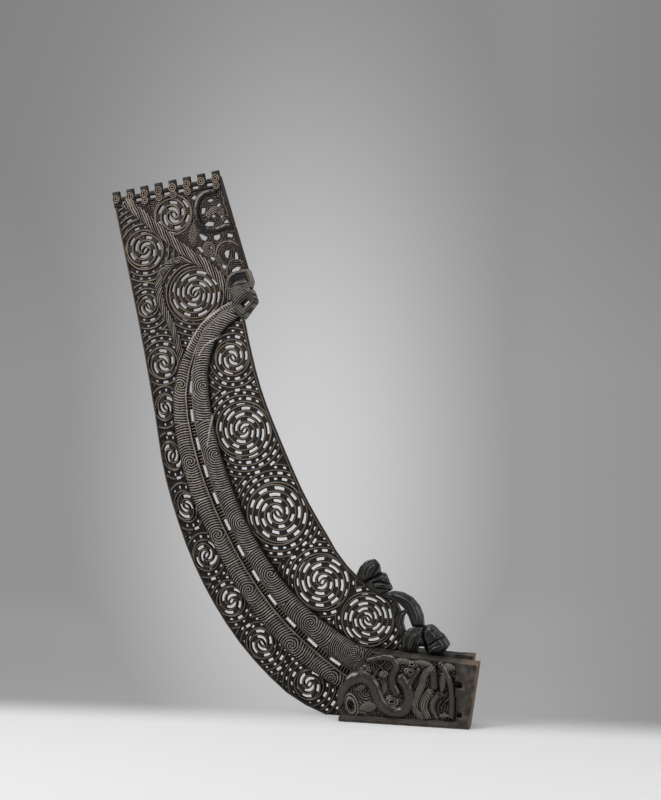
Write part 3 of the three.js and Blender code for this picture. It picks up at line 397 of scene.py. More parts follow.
class Disc:
    """The round or oval place of a pierced spiral, read from its node."""

    def __init__(self, node):
        low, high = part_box(node)
        points = np.array([v.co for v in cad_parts[node].data.vertices]) / MM
        self.centre = np.array([(low.x + high.x) / 2, (low.z + high.z) / 2]) / MM
        flat = points[:, [0, 2]] - self.centre
        reach = np.hypot(*flat.T)
        half = max(high.x - low.x, high.z - low.z) / 2 / MM
        rim = flat[reach > 0.6 * half]
        _, vectors = np.linalg.eigh(rim.T @ rim)
        self.angle = math.atan2(vectors[1, 1], vectors[0, 1])
        lying = flat @ vectors
        self.radius = np.abs(lying[:, 0]).max()
        self.stretch = np.abs(lying[:, 1]).max() / self.radius
        if self.stretch < 1.06:
            self.angle, self.radius, self.stretch = 0.0, half, 1.0
        self.growth = GROWTH.get(node, USUAL_GROWTH)
        self.radius += self.growth
        share = min(1, max(FINEST_RIDGE, self.radius / FULL_SPIRAL_RADIUS))
        self.pitch = FINER_PITCH.get(node, FULL_PITCH * share)

    def around(self, x, z):
        """How far outside the rim each point lies, and at what angle."""
        along, across = turned(x, z, self.centre, self.angle)
        along = along / self.stretch
        return np.hypot(along, across) - self.radius, np.arctan2(across, along)

    def rows(self, x, z):
        """How far each point lies from the rim, from the nearest row of slots, and along it."""
        gap, turn = self.around(x, z)
        row = (gap + self.growth + 0.5 * wobble(x, z, 60) - FRET_FIRST_ROW) / FRET_PITCH
        number = np.round(row)
        reach = self.radius - self.growth + FRET_FIRST_ROW + FRET_PITCH * number
        count = np.floor(2 * math.pi * reach * self.stretch / FRET_SPACING)
        along = (turn * np.maximum(count, 1) / (2 * math.pi) - number / 2) * FRET_SPACING
        return gap, np.abs(row - number) * FRET_PITCH, along


# Carved plates: a grid of cells cut to an outline, with a depth at each corner


def linked(name, data):
    """A new object in the scene."""
    made = bpy.data.objects.new(name, data)
    bpy.context.scene.collection.objects.link(made)
    return made


def smooth_piece(name, mesh, sharpest):
    """A smooth-shaded piece at the origin, whose edges stay sharp past an angle."""
    mesh.shade_smooth()
    mesh.set_sharp_from_angle(angle=sharpest)
    return linked(name, mesh)


def mesh_from(name, points, faces, worn=None):
    """A piece from its points and faces, shaded from -1, painted shade in a cut, to 1, wear and
    painted highlight.
    """
    mesh = bpy.data.meshes.new(name)
    mesh.from_pydata(points.tolist(), [], faces.tolist())
    if worn is not None:
        mesh.attributes.new("worn", "FLOAT", "POINT").data.foreach_set("value", worn)
    return smooth_piece(name, mesh, CARVED_SHARP_ANGLE)


def bare_points(name, places, attribute, values):
    """A mesh of loose points, each with a value, for a node tree to place things on."""
    mesh = bpy.data.meshes.new(name)
    mesh.from_pydata([(x * MM, z * MM, 0) for x, z in places], [], [])
    mesh.attributes.new(attribute, "FLOAT", "POINT").data.foreach_set("value", values)
    return mesh


def around_corners(values):
    """The sum of a grid's four cells round each of its corners."""
    wide = np.pad(values, 1)
    return wide[:-1, :-1] + wide[1:, :-1] + wide[:-1, 1:] + wide[1:, 1:]


def plate_mesh(name, solid, points, front, back, worn):
    """Closes the solid cells of a grid into a plate. The other grids are given at its corners."""
    i, k = np.nonzero(solid)
    rows = solid.shape[1] + 1
    quads = np.stack([(i + a) * rows + k + b for a, b in ((0, 0), (1, 0), (1, 1), (0, 1))], 1)
    used, quads = np.unique(quads, return_inverse=True)
    quads = quads.reshape(-1, 4)
    wide = np.pad(solid, 1)
    walls = []
    sides = (((0, -1), (0, 1)), ((1, 0), (1, 2)), ((0, 1), (2, 3)), ((-1, 0), (3, 0)))
    for (di, dk), (a, b) in sides:
        free = ~wide[i + 1 + di, k + 1 + dk]
        start, end = quads[free, a], quads[free, b]
        walls.append(np.stack([end, start, start + len(used), end + len(used)], 1))
    faces = np.vstack([quads, quads[:, ::-1] + len(used), *walls])
    flat = points.reshape(-1, 2)[used]
    layers = [np.stack([flat[:, 0], y.ravel()[used], flat[:, 1]], 1) for y in (front, back)]
    return mesh_from(name, np.vstack(layers), faces, np.tile(worn.ravel()[used], 2))


def rim_lines(solid):
    """Which lines of a grid, along x and along z, lie between a solid and an empty cell."""
    wide = np.pad(solid, 1)
    return wide[1:-1, :-1] != wide[1:-1, 1:], wide[:-1, 1:-1] != wide[1:, 1:-1]


def round_rim(points, solid, free, passes):
    """Evens out the free rim points of a grid, and moves the points near them along."""
    start = points.copy()
    along_x, along_z = rim_lines(solid)
    pairs = ((along_x, np.s_[:-1, :], np.s_[1:, :]), (along_z, np.s_[:, :-1], np.s_[:, 1:]))
    for _ in range(passes):
        total = np.zeros_like(points)
        weight = np.zeros(points.shape[:2])
        for line, a, b in pairs:
            total[a] += points[b] * line[..., None]
            total[b] += points[a] * line[..., None]
            weight[a] += line
            weight[b] += line
        middle = total / np.maximum(weight, 1)[..., None]
        points = np.where((free & (weight > 0))[..., None], (points + middle) / 2, points)
    count = around_corners(solid.astype(float))
    inside = (count == 4)[..., None]
    used = (count > 0)[..., None]
    shift = (points - start) * ~inside
    for _ in range(passes):
        total = sum(np.roll(shift * used, step, (0, 1)) for step in BESIDE)
        shift = np.where(inside, total / 4, shift)
    return start + shift


def blurred(values, used, passes):
    """Values of a grid averaged with those beside them, inside its used corners."""
    for _ in range(passes):
        total = np.zeros_like(values)
        weight = np.zeros_like(values)
        for shift in ((0, 0), *BESIDE):
            total += np.roll(values * used, shift, (0, 1))
            weight += np.roll(used, shift, (0, 1))
        values = np.where(used, total / np.maximum(weight, 1), values)
    return values


def carved_plate(name, node, step, carve, soften=2, rounding=0, side=0, inner=None, pierce=None):
    """A plate with a node's outline and thickness, carved alike on both faces.

    carve(x, z, edge, half) takes each point, its distance to the outline and the node's half
    thickness there, and gives the carved half thickness and the point's shading, from painted shade
    in cuts to crests lighter from wear and a painted highlight. pierce takes the same and says
    where the plate is cut through. soften and rounding are how many times the thickness and the
    outline are smoothed. With side -1 or 1 only the near or the far half is made, from its face to
    inner(x).
    """
    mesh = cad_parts[node].data
    corners = [v.co for v in mesh.vertices]
    triangles = [tuple(p.vertices) for p in mesh.polygons]
    whole = BVHTree.FromPolygons(corners, triangles)
    upright = [t for t, p in zip(triangles, mesh.polygons) if abs(p.normal.y) < 0.05]
    walls = BVHTree.FromPolygons(corners, upright)
    low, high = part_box(node)
    xs = np.arange(low.x - step, high.x + 2 * step, step)
    zs = np.arange(low.z - step, high.z + 2 * step, step)
    depth = np.zeros((len(xs) - 1, len(zs) - 1))
    facing = side or -1
    toward = Vector((0, -facing, 0))
    for i, x in enumerate(xs[:-1] + step / 2):
        for k, z in enumerate(zs[:-1] + step / 2):
            hit = whole.ray_cast(Vector((x, facing, z)), toward)[0]
            if hit is not None:
                depth[i, k] = max(0, facing * hit.y)
    solid = depth > 0
    count = around_corners(solid.astype(float))
    half = around_corners(depth) / np.maximum(count, 1)
    used = count > 0
    half = blurred(half, used, soften)
    points = np.stack(np.meshgrid(xs, zs, indexing="ij"), 2)
    edge = np.zeros_like(half)
    for i, k in zip(*np.nonzero(used)):
        x, z = points[i, k]
        near, _, _, distance = walls.find_nearest(Vector((x, side * HEEL_GROUND * MM, z)))
        if count[i, k] < 4:
            points[i, k] = near.x, near.z
        else:
            edge[i, k] = distance
    edge = blurred(edge, used, 2 * rounding)
    free = used & (rounding > 0)
    if pierce is not None:
        grids = (points[..., 0], points[..., 1], edge, half)
        cells = [around_corners(values)[1:-1, 1:-1] / 4 / MM for values in grids]
        cut = pierce(*(a.ravel() for a in cells)).reshape(cells[0].shape)
        solid[1:-1, 1:-1] &= ~cut[1:-1, 1:-1]
        free |= (count == 4) & (around_corners(solid.astype(float)) < 4)
    if free.any():
        points = round_rim(points, solid, free, rounding or 2)
    worn = np.zeros_like(half)
    x, z = points[used].T / MM
    level, worn[used] = carve(x, z, edge[used] / MM, half[used] / MM)
    half[used] = level * MM
    back = half if inner is None else inner(points[..., 0] / MM) * MM
    front, back = (-half, back) if side == 0 else (-half, -back) if side < 0 else (back, half)
    return plate_mesh(name, solid, points, front, back, worn)


def carved_member(node, wood, slot, step, rule, **how):
    """A node's carved plate in its wood, in place of the node."""
    dress(carved_plate("carved_" + node, node, step, rule, **how), finish(wood), slot, node)


def dress(piece, material, slot, *nodes):
    """Gives a piece its finish and its place in the frame."""
    piece.data.materials.clear()
    piece.data.materials.append(material)
    if nodes:
        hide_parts(*nodes)
    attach(piece, "root")


# Node trees


class Graph:
    """Writes a node tree from the first node to the last, one call for each."""

    def __init__(self, tree):
        self.tree = tree

    def add(self, kind, values=None, **settings):
        node = self.tree.nodes.new(kind)
        for key, value in settings.items():
            setattr(node, key, value)
        for key, value in (values or {}).items():
            if isinstance(value, bpy.types.NodeSocket):
                self.tree.links.new(value, node.inputs[key])
            else:
                node.inputs[key].default_value = value
        return node

    def out(self, *args, **settings):
        """A new node's first output."""
        return self.add(*args, **settings).outputs[0]

    def maths(self, operation, *values):
        return self.out("ShaderNodeMath", dict(enumerate(values)), operation=operation)

    def plus(self, first, second):
        return self.maths("ADD", first, second)

    def times(self, first, second):
        return self.maths("MULTIPLY", first, second)

    def over(self, first, second):
        return self.maths("DIVIDE", first, second)

    def vector(self, x, y, z):
        return self.out("ShaderNodeCombineXYZ", {0: x, 1: y, 2: z})

    def ramp(self, value, low, high, start=0.0, end=1.0, kind="LINEAR"):
        """start below low, end above high, and a slope between."""
        values = {0: value, 1: low, 2: high, 3: start, 4: end}
        return self.out("ShaderNodeMapRange", values, interpolation_type=kind)

    def noise(self, place, scale, detail):
        values = {"Vector": place, "Scale": scale, "Detail": detail}
        return self.out("ShaderNodeTexNoise", values)

    def mixed(self, factor, first, second):
        """A colour between two, each a socket or a plain colour."""
        values = {0: factor}
        for key, end in ((6, first), (7, second)):
            values[key] = end if isinstance(end, bpy.types.NodeSocket) else (*end, 1)
        return self.add("ShaderNodeMix", values, data_type="RGBA").outputs[2]

    def join(self, *geometries):
        node = self.add("GeometryNodeJoinGeometry")
        for geometry in geometries:
            self.tree.links.new(geometry, node.inputs[0])
        return node.outputs[0]

    def moved(self, geometry, **values):
        named = {key.capitalize(): value for key, value in values.items()}
        return self.out("GeometryNodeTransform", {0: geometry, **named})

    def circle(self, radius, resolution):
        values = {"Resolution": resolution, "Radius": radius}
        return self.out("GeometryNodeCurvePrimitiveCircle", values)

    def oval_profile(self, width, height, resolution):
        """A closed curve to sweep, wide along x and high along y."""
        return self.moved(self.circle(0.5, resolution), scale=self.vector(width, height, 1.0))

    def sweep(self, curve, profile):
        upright = self.out("GeometryNodeSetCurveNormal", {0: curve}, mode="Z_UP")
        values = {"Curve": upright, "Profile Curve": profile, "Fill Caps": True}
        return self.out("GeometryNodeCurveToMesh", values)

    def attribute(self, name):
        return self.out("GeometryNodeInputNamedAttribute", {"Name": name}, data_type="FLOAT")


def new_tree(name, kind, inputs, outputs):
    """An empty node tree with named sockets, its graph and its input sockets."""
    tree = bpy.data.node_groups.new(name, kind)
    for side, sockets in (("INPUT", inputs), ("OUTPUT", outputs)):
        for socket, value in sockets.items():
            tree.interface.new_socket(socket, in_out=side, socket_type="NodeSocket" + value)
    graph = Graph(tree)
    return tree, graph, graph.add("NodeGroupInput").outputs


def new_geometry_tree(name, floats, **others):
    """An empty Geometry Nodes tree with named inputs."""
    geometry = {"Geometry": "Geometry"}
    inputs = {**geometry, **dict.fromkeys(floats, "Float"), **others, "Material": "Material"}
    return new_tree(name, "GeometryNodeTree", inputs, geometry)


def run_tree(name, tree, base, values):
    """Runs a tree on a base mesh with the given inputs, and gives the result as a plain piece."""
    carrier = linked(name + "_carrier", base)
    modifier = carrier.modifiers.new("Nodes", "NODES")
    modifier.node_group = tree
    for item in tree.interface.items_tree:
        if item.in_out == "INPUT" and item.name in values:
            modifier[item.identifier] = values[item.name]
    evaluated = carrier.evaluated_get(bpy.context.evaluated_depsgraph_get())
    mesh = bpy.data.meshes.new_from_object(evaluated)
    mesh.name = name
    bpy.data.objects.remove(carrier)
    return smooth_piece(name, mesh, SWEPT_SHARP_ANGLE)


def finish_tree(graph, parts, half_depth, given, deepest, angle=0.0, stretch=1.0, centre=(0, 0, 0)):
    """Joins the parts, marks crests (wear, painted highlight) and cuts (painted shade) by their
    depth, and stands the flat work up.
    """
    flat = graph.out("GeometryNodeRealizeInstances", {0: graph.join(*parts)})
    place = graph.out("GeometryNodeInputPosition")
    depth = graph.maths("ABSOLUTE", graph.add("ShaderNodeSeparateXYZ", {0: place}).outputs[2])
    share = graph.over(depth, half_depth)
    # Crests are lighter from wear and a painted highlight; points deep in the slab get painted
    # shade
    crest = graph.ramp(share, *CREST_DEPTHS)
    cut = graph.ramp(share, deepest, (1 + deepest) / 2 + 0.1, -1.0, 0.0)
    values = {"Geometry": flat, "Name": "worn", "Value": graph.plus(crest, cut)}
    kind = {"data_type": "FLOAT", "domain": "POINT"}
    stored = graph.out("GeometryNodeStoreNamedAttribute", values, **kind)
    heading, scale = graph.vector(0.0, 0.0, angle), graph.vector(stretch, 1.0, 1.0)
    lying = graph.moved(stored, rotation=heading, scale=scale)
    stood = graph.moved(lying, translation=centre, rotation=(math.pi / 2, 0, 0))
    values = {"Geometry": stood, "Material": given["Material"]}
    graph.add("NodeGroupOutput", {0: graph.out("GeometryNodeSetMaterial", values)})


def spiral_tree():
    """A pierced double spiral: two arms round an eye, a rim and toothed bridges between."""
    floats = ["Radius", "Ridge Width", "Channel Width", "Thickness", "Bridge Thickness"]
    floats += ["Tooth Length", "Hand", "Stretch", "Angle"]
    tree, graph, given = new_geometry_tree("Double spiral", floats, Steps="Int", Centre="Vector")
    width, thick, hand = given["Ridge Width"], given["Thickness"], given["Hand"]
    profile = graph.oval_profile(width, thick, RIDGE_SIDES)
    growth = graph.over(graph.plus(width, given["Channel Width"]), math.pi)
    middle = graph.maths("SUBTRACT", given["Radius"], graph.times(width, 0.5))
    turns = graph.maths("SUBTRACT", graph.over(middle, growth), EYE_TURN)
    last_index = graph.maths("SUBTRACT", given["Steps"], 1.0)
    share = graph.over(graph.out("GeometryNodeInputIndex"), last_index)
    turn = graph.maths("MULTIPLY_ADD", share, turns, EYE_TURN)
    reach = graph.times(growth, turn)
    x = graph.times(reach, graph.maths("COSINE", turn))
    y = graph.times(graph.times(reach, graph.maths("SINE", turn)), hand)
    line = graph.out("GeometryNodeMeshLine", {"Count": given["Steps"]})
    wound = graph.out("GeometryNodeSetPosition", {0: line, "Position": graph.vector(x, y, 0.0)})
    arm = graph.sweep(graph.out("GeometryNodeMeshToCurve", {0: wound}), profile)
    other_arm = graph.moved(arm, rotation=(0, 0, math.pi))
    rim = graph.sweep(graph.circle(middle, RIM_STEPS), profile)
    heading = graph.vector(0.0, 0.0, graph.times(hand, EYE_HEADING))
    lens = graph.circle(graph.times(growth, EYE_TURN), EYE_STEPS)
    lens = graph.moved(lens, rotation=heading, scale=EYE_SHAPE)
    eye = graph.sweep(lens, graph.oval_profile(graph.times(width, 0.6), thick, EYE_SIDES))

    across = graph.plus(given["Channel Width"], graph.times(width, 0.5))
    depth, tooth = given["Bridge Thickness"], given["Tooth Length"]
    core = graph.vector(tooth, across, graph.times(depth, 0.5))
    crest = graph.vector(graph.times(tooth, 0.5), across, depth)
    blocks = [graph.out("GeometryNodeMeshCube", {"Size": size}) for size in (core, crest)]
    values = {
        "Points": given["Geometry"],
        "Instance": graph.join(*blocks),
        "Rotation": graph.vector(0.0, 0.0, graph.attribute("heading")),
    }
    teeth = graph.out("GeometryNodeInstanceOnPoints", values)
    parts = [arm, other_arm, rim, eye, teeth]
    placed = {"angle": given["Angle"], "stretch": given["Stretch"], "centre": given["Centre"]}
    finish_tree(graph, parts, graph.times(thick, 0.5), given, 0.5, **placed)
    return tree


def tooth_places(name, radius, pitch, hand):
    """The teeth of the bridges, which run along both channels of a spiral."""
    growth = pitch / math.pi
    points, headings = [], []
    for start in (0, math.pi):
        turn = FIRST_BRIDGE_TURN
        while growth * turn + pitch / 2 < radius - 0.3 * pitch:
            reach = growth * turn + pitch / 2
            shorter = min(1, SHORTEST_BRIDGE + reach / FULL_BRIDGE_REACH)
            spread = (1 + BRIDGE_UNEVENNESS * math.sin(5.3 * turn + start)) * shorter
            for tooth in range(TEETH_PER_BRIDGE):
                offset = ((tooth + 0.5) / TEETH_PER_BRIDGE - 0.5) * BRIDGE_LENGTH * shorter / reach
                angle = turn + start + offset
                points.append((reach * math.cos(angle), hand * reach * math.sin(angle)))
                headings.append(hand * (angle + math.pi / 2))
            turn += (BRIDGE_LENGTH + SLOT_LENGTH) * spread / reach
    return bare_points(name + "_teeth", points, "heading", headings)


def spiral_nodes():
    return sorted(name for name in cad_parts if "_spiral" in name)


def spiral_hand(node):
    """Neighbours in a band wind opposite ways."""
    family, number = node.rsplit("_", 1)
    if not number.isdigit():
        return -1 if node == "heart_spiral" else 1
    odd = 1 if int(number) % 2 else -1
    return -odd if family == "shoulder_spiral" else odd


def pierced_spiral(node, tree, sizes):
    """One pierced spiral in its socket."""
    disc = Disc(node)
    ridge = RIDGE_SHARE * disc.pitch
    hand = spiral_hand(node)
    arm = math.pi * (disc.radius - ridge / 2) ** 2 / (2 * disc.pitch)
    material = finish("dark_wood")
    x, z = disc.centre * MM
    values = {
        "Radius": float(disc.radius * MM),
        "Ridge Width": ridge * MM,
        "Channel Width": (disc.pitch - ridge) * MM,
        "Thickness": sizes.ridge_thickness,
        "Bridge Thickness": sizes.bridge_thickness,
        "Tooth Length": BRIDGE_LENGTH / TEETH_PER_BRIDGE * MM,
        "Steps": max(40, int(arm * MM / sizes.ridge_step)),
        "Hand": float(hand),
        "Stretch": float(disc.stretch),
        "Angle": float(disc.angle),
        "Centre": (float(x), 0.0, float(z)),
        "Material": material,
    }
    teeth = tooth_places(node, disc.radius, disc.pitch, hand)
    dress(run_tree("carved_" + node, tree, teeth, values), material, "carved_wood", node)


def boss_tree():
    """Ring bosses that stand out on both faces of a plate, one on each point."""
    tree, graph, given = new_geometry_tree("Ring bosses", ["Half Depth", "Tube"])
    tube = graph.oval_profile(given["Tube"], given["Tube"], BOSS_SIDES)
    parts = []
    for radius in BOSS_RINGS:
        ring = graph.sweep(graph.circle(radius, BOSS_STEPS), tube)
        parts += [graph.moved(ring, translation=(0, 0, side)) for side in (-1, 1)]
    disc = {"Vertices": BOSS_STEPS, **BOSS_DISC}
    size = graph.attribute("size")
    values = {
        "Points": given["Geometry"],
        "Instance": graph.join(*parts, graph.out("GeometryNodeMeshCylinder", disc)),
        "Scale": graph.vector(size, size, given["Half Depth"]),
    }
    placed = graph.out("GeometryNodeInstanceOnPoints", values)
    outermost = graph.times(given["Half Depth"], 1 + BOSS_TUBE / 2)
    finish_tree(graph, [placed], outermost, given, 0.7)
    return tree


def boss_places():
    """The middle and radius of every ring boss of the crest, in its own plane."""
    along = (CREST_RIGHT - CREST_LEFT).normalized()
    down = Vector((along.z, 0, -along.x))
    pitch = ((CREST_RIGHT - CREST_LEFT).length - MERLON_WIDTH) / (MERLON_COUNT - 1)
    points, sizes = [], []
    for numbers, drop, radius in BOSS_ROWS:
        for number in numbers:
            place = CREST_LEFT + along * (pitch * number + MERLON_WIDTH / 2) + down * drop
            points.append((place.x, place.z))
            sizes.append(radius * MM)
    return bare_points("boss_places", points, "size", sizes)


# Raised shapes: each gives its height over the ground, and its wear, painted shade and highlight


def limb(route, widths, top, lines=0):
    """A round limb along a route, tapering between two widths, with lines cut along it."""
    path = Path(route)

    def shape(x, z):
        along, across = path.locate(x, z)
        width = np.interp(along, (0, path.lengths[-1]), widths)
        share = np.clip(2 * path.gap(along, across) / width, 0, 1)
        height = top * np.sqrt(1 - share**1.8) + 0.8 * (wobble(x, z, 34) - 1)
        # Painted shade darkens the flanks where the limb meets the ground; cut lines get painted
        # shade in their grooves and crests lighter from wear and a painted highlight
        worn = SMOOTH_DARKENING - 0.8 * smooth(share, 0.72, 1)
        if lines:
            cut = ridges(share * lines + 0.5 * (lines % 2), 1, 0.8)
            height = height - 2.4 * (1 - cut) * (share < 1)
            worn = rubbed(cut)
        return np.where(share < 1, np.maximum(height, 0), 0), worn

    return shape


def rings(centre, radii, degrees, pitch, top, hollow=0.0):
    """Rings of ridges that fill an oval, round a hollow that takes a share of it."""

    def shape(x, z):
        along, across = turned(x, z, centre, math.radians(degrees))
        share = np.hypot(along / radii[0], across / radii[1])
        cut = ridges(share * min(radii) + pitch / 2, pitch, 0.7)
        sunk = 1 - smooth(share, 0.7 * hollow, hollow + 0.01)
        height = (top - 3.5 * (1 - cut)) * np.sqrt(np.clip(1 - share**4, 0, 1)) * (1 - 0.85 * sunk)
        # Painted shade in the grooves and strongest in the hollow; crests lighter from wear and a
        # painted highlight
        return np.where(share < 1, np.maximum(height, 2.2), 0), rubbed(cut) - 2 * sunk

    return shape


def leaf(centre, radii, degrees, pitch, top):
    """A leaf with veins that meet on its middle line."""

    def shape(x, z):
        along, across = turned(x, z, centre, math.radians(degrees))
        share = np.abs(across) / (radii[1] * np.clip(1 - (along / radii[0]) ** 2, 0.01, 1))
        inside = (share < 1) & (np.abs(along) < radii[0])
        cut = ridges(along - 0.8 * np.abs(across), pitch, 0.7)
        height = (top - 2.5 * (1 - cut)) * np.sqrt(np.clip(1 - share**3, 0, 1))
        return np.where(inside, height, 0), rubbed(cut)

    return shape


def raised(shapes, x, z, ground, tone=-1.0):
    """The highest of the shapes at each point, over an uneven ground shaded by tone: -1 is full
    painted shade.
    """
    height = ground * (1 + 0.35 * wobble(x, z, 22))
    worn = np.zeros(len(x)) + tone
    for shape in shapes:
        top, shading_there = shape(x, z)
        higher = top > height
        height = np.where(higher, top, height)
        worn = np.where(higher, shading_there, worn)
    return height, worn


CROWN_SHAPES = [
    limb([(-596, 1716), (-630, 1722), (-670, 1716), (-697, 1695), (-704, 1657), (-693, 1616),
          (-667, 1586), (-633, 1579), (-600, 1590), (-575, 1575)], (20, 20), 4.5),
    limb([(-606, 1698), (-593, 1666), (-583, 1621), (-570, 1575)], (13, 13), 4, 1),
    limb([(-662, 1640), (-640, 1655), (-620, 1645), (-610, 1620)], (24, 16), 4, 2),
    leaf((-717, 1574), (38, 15), 84, 6.5, 4.5),
    limb([(-704, 1690), (-716, 1640), (-712, 1600)], (10, 8), 4, 1),
    rings((-661, 1522), (22, 26), 10, 6.5, 4.5),
    limb([(-636, 1500), (-628, 1531), (-606, 1545), (-578, 1544), (-552, 1526)], (17, 15),
         4.5, 1),
    limb([(-596, 1430), (-596, 1457), (-584, 1480), (-560, 1484), (-535, 1470), (-524, 1446)],
         (15, 13), 4.5, 1),
    limb([(-603, 1571), (-586, 1552), (-556, 1508), (-537, 1478)], (11, 10), 4),
    limb([(-640, 1505), (-620, 1477), (-607, 1440)], (22, 16), 4, 2),
]

# Ripples on the heel's sunk face, between the raised shapes
HEEL_GROUND_SPIRALS = [
    (-166, 160, 8), (-118, 96, 8), (-20, 142, 8), (50, 140, 8),
    (88, 66, 8), (-10, 20, 8), (120, 190, 8), (-60, 185, 8),
]

# Raised from the heel's sunk face: the serpent, its neck, coiled eyes, leaves and the fore figure
HEEL_SHAPES = [
    leaf((-131, 108), (24, 12), 24, 5.5, 12),
    leaf((-52, 112), (20, 12), 82, 5.5, 12),
    leaf((-6, 104), (24, 9), -74, 5.5, 11),
    leaf((-140, 30), (34, 7), -4, 5.5, 11),
    leaf((4, 200), (38, 12), -2, 5.5, 17),
    leaf((72, 196), (34, 11), -7, 5.5, 19),
    leaf((150, 188), (28, 14), -8, 5.5, 18),
    rings((36, 192), (20, 12), -10, 5, 20, 0.2),
    leaf((-150, 150), (26, 8), 42, 5, 10),
    rings((30, 166), (26, 15), -16, 5.5, 13, 0.3),
    rings((-115, 168), (19, 14), 36, 5.5, 12, 0.2),
    rings((-160, 52), (24, 42), 14, 7, 20, 0.36),
    leaf((-104, 48), (34, 20), 12, 6, 17),
    rings((-29, 70), (30, 20), 0, 6.5, 14, 0.3),
    rings((-55, 156), (19, 14), 8, 5, 16),
    limb([(-124, 166), (-89, 192), (-55, 203)], (10, 8), 14),
    limb([(-100, 196), (-68, 182), (-44, 152)], (13, 10), 17),
    limb([(-88, 146), (-71, 172), (-50, 196)], (13, 11), 18),
    limb([(-206, 62), (-198, 96), (-172, 126), (-128, 143), (-93, 126), (-76, 88),
          (-58, 56), (-28, 38), (6, 43), (26, 74), (22, 112), (2, 144)],
         (54, 42), 25.4),
    limb([(-14, 100), (-26, 124), (-26, 152), (-15, 180), (-26, 203), (-52, 209),
          (-78, 206), (-104, 198)], (36, 26), 24.4),
    limb([(29, 132), (57, 176)], (26, 22), 22),
    limb([(98, 184), (76, 160), (68, 130), (55, 100), (45, 70), (48, 44), (66, 27)],
         (28, 28), 22, 3),
    limb([(93, 104), (76, 84), (71, 56), (84, 30)], (30, 26), 23, 2),
    limb([(118, 100), (103, 80), (101, 54), (114, 30)], (21, 19), 20, 2),
    limb([(103, 172), (106, 126)], (30, 32), 23),
    leaf((133, 142), (36, 13), 84, 5.5, 20),
    limb([(126, 196), (146, 166), (158, 133), (162, 96), (160, 36)], (29, 27), 24),
    limb([(86, 108), (106, 98), (124, 106), (148, 100)], (9, 8), 23),
    limb([(86, 98), (106, 107), (124, 98), (148, 108)], (8, 8), 22),
    limb([(130, 84), (118, 60), (126, 36)], (12, 10), 19),
    limb([(152, 90), (136, 74), (124, 58)], (11, 8), 18),
    leaf((138, 36), (16, 11), 6, 5, 20),
]


# Carving rules, one for each kind of surface


def fret_rows(discs, x, z):
    """The nearest spiral's rows at each point, and how much further the next spiral is."""
    fields = np.stack([disc.rows(x, z) for disc in discs])
    order = np.argsort(fields[:, 0], 0)
    gap, off, along = np.take_along_axis(fields, order[:1, None], 0)[0]
    if len(discs) == 1:
        return gap, off, along, np.full(len(x), np.inf)
    return gap, off, along, np.take_along_axis(fields[:, 0], order[1:2], 0)[0] - gap


def fret_slots(discs):
    """Where the fretwork is cut through: inside the spirals and between the frame's openings."""

    def pierce(x, z, edge, half):
        gap, off, along, seam = fret_rows(discs, x, z)
        share = along / FRET_SPACING
        slot = np.abs(share - np.round(share)) * FRET_SPACING < FRET_SMALL_SLOT / 2
        opening = slot & (off < FRET_HALF_WIDTH) & (edge > FRET_EDGE) & (seam > FRET_SEAM)
        return (opening | (gap < -SPIRAL_OVERLAP)) & (half < PANEL_HALF)

    return pierce


def crown_hole(x, z, edge, half):
    """Where the crown's panel is cut through for its spiral."""
    return (Disc("crown_spiral").around(x, z)[0] < -SPIRAL_OVERLAP) & (half < PANEL_HALF)


def beside_rail(level, worn, rail_wear_and_shading, edge, half, radius):
    """A panel's carving inside its plain, eased rail."""
    rail = smooth(half, *RAIL_HALF)
    level = level * (1 - rail) + (half - 0.6) * rail - 1.8 * (1 - rounded(edge, radius))
    return level, np.where(rail > 0.5, rail_wear_and_shading, worn)


def fret_carving(discs):
    """Ridges that run on round the spirals, with notched bridges between their openings."""

    def carve(x, z, edge, half):
        _, off, along, _ = fret_rows(discs, x, z)
        crest = ridges(np.clip((off - FRET_RIDGE_START) / FRET_RIDGE_WIDTH, 0, 1), 1, 0.8)
        notch = ridges(along, FRET_NOTCH_PITCH) * (1 - smooth(off, 4, 6))
        # Painted shade in the channels; crests and notches lighter from wear and a painted
        # highlight
        worn = 1.9 * smooth(crest, 0.75, 1) - 1 + 0.9 * notch
        lip = between(edge, 0.2, 1.4, 2.2, 4)
        level = FRET_GROUND + FRET_CREST * crest + FRET_NOTCH * notch
        return beside_rail(level, worn, 1.1 * lip - 0.25, edge, half, 2.6)

    return carve


def crown_carving(x, z, edge, half):
    """A curled figure of limbs round the openings, inside the rail."""
    height, worn = raised(CROWN_SHAPES, x, z, 1)
    lines = ridges(edge + 0.8 * wobble(x, z, 40), 6.4, 0.8)
    # The plain ground gets lines, with painted shade in their grooves and lighter crests
    plain = worn <= -1
    height = np.where(plain, 3.2 * lines, height)
    worn = np.where(plain, 0.7 * rubbed(lines) - 0.3, worn)
    return beside_rail(4.6 + height, worn, -0.1, edge, half, 2.4)


def surface_spirals(centres, x, z):
    """The phase of ripples that wind out of the nearest surface spiral, and how far that is."""
    middle_x, middle_z, pitch = np.array(centres, float).T
    nearest = np.hypot(x - middle_x[:, None], z - middle_z[:, None]).argmin(0)
    dx, dz = x - middle_x[nearest], z - middle_z[nearest]
    reach = np.hypot(dx, dz)
    return reach / pitch[nearest] - np.arctan2(dz, dx) / np.pi, reach


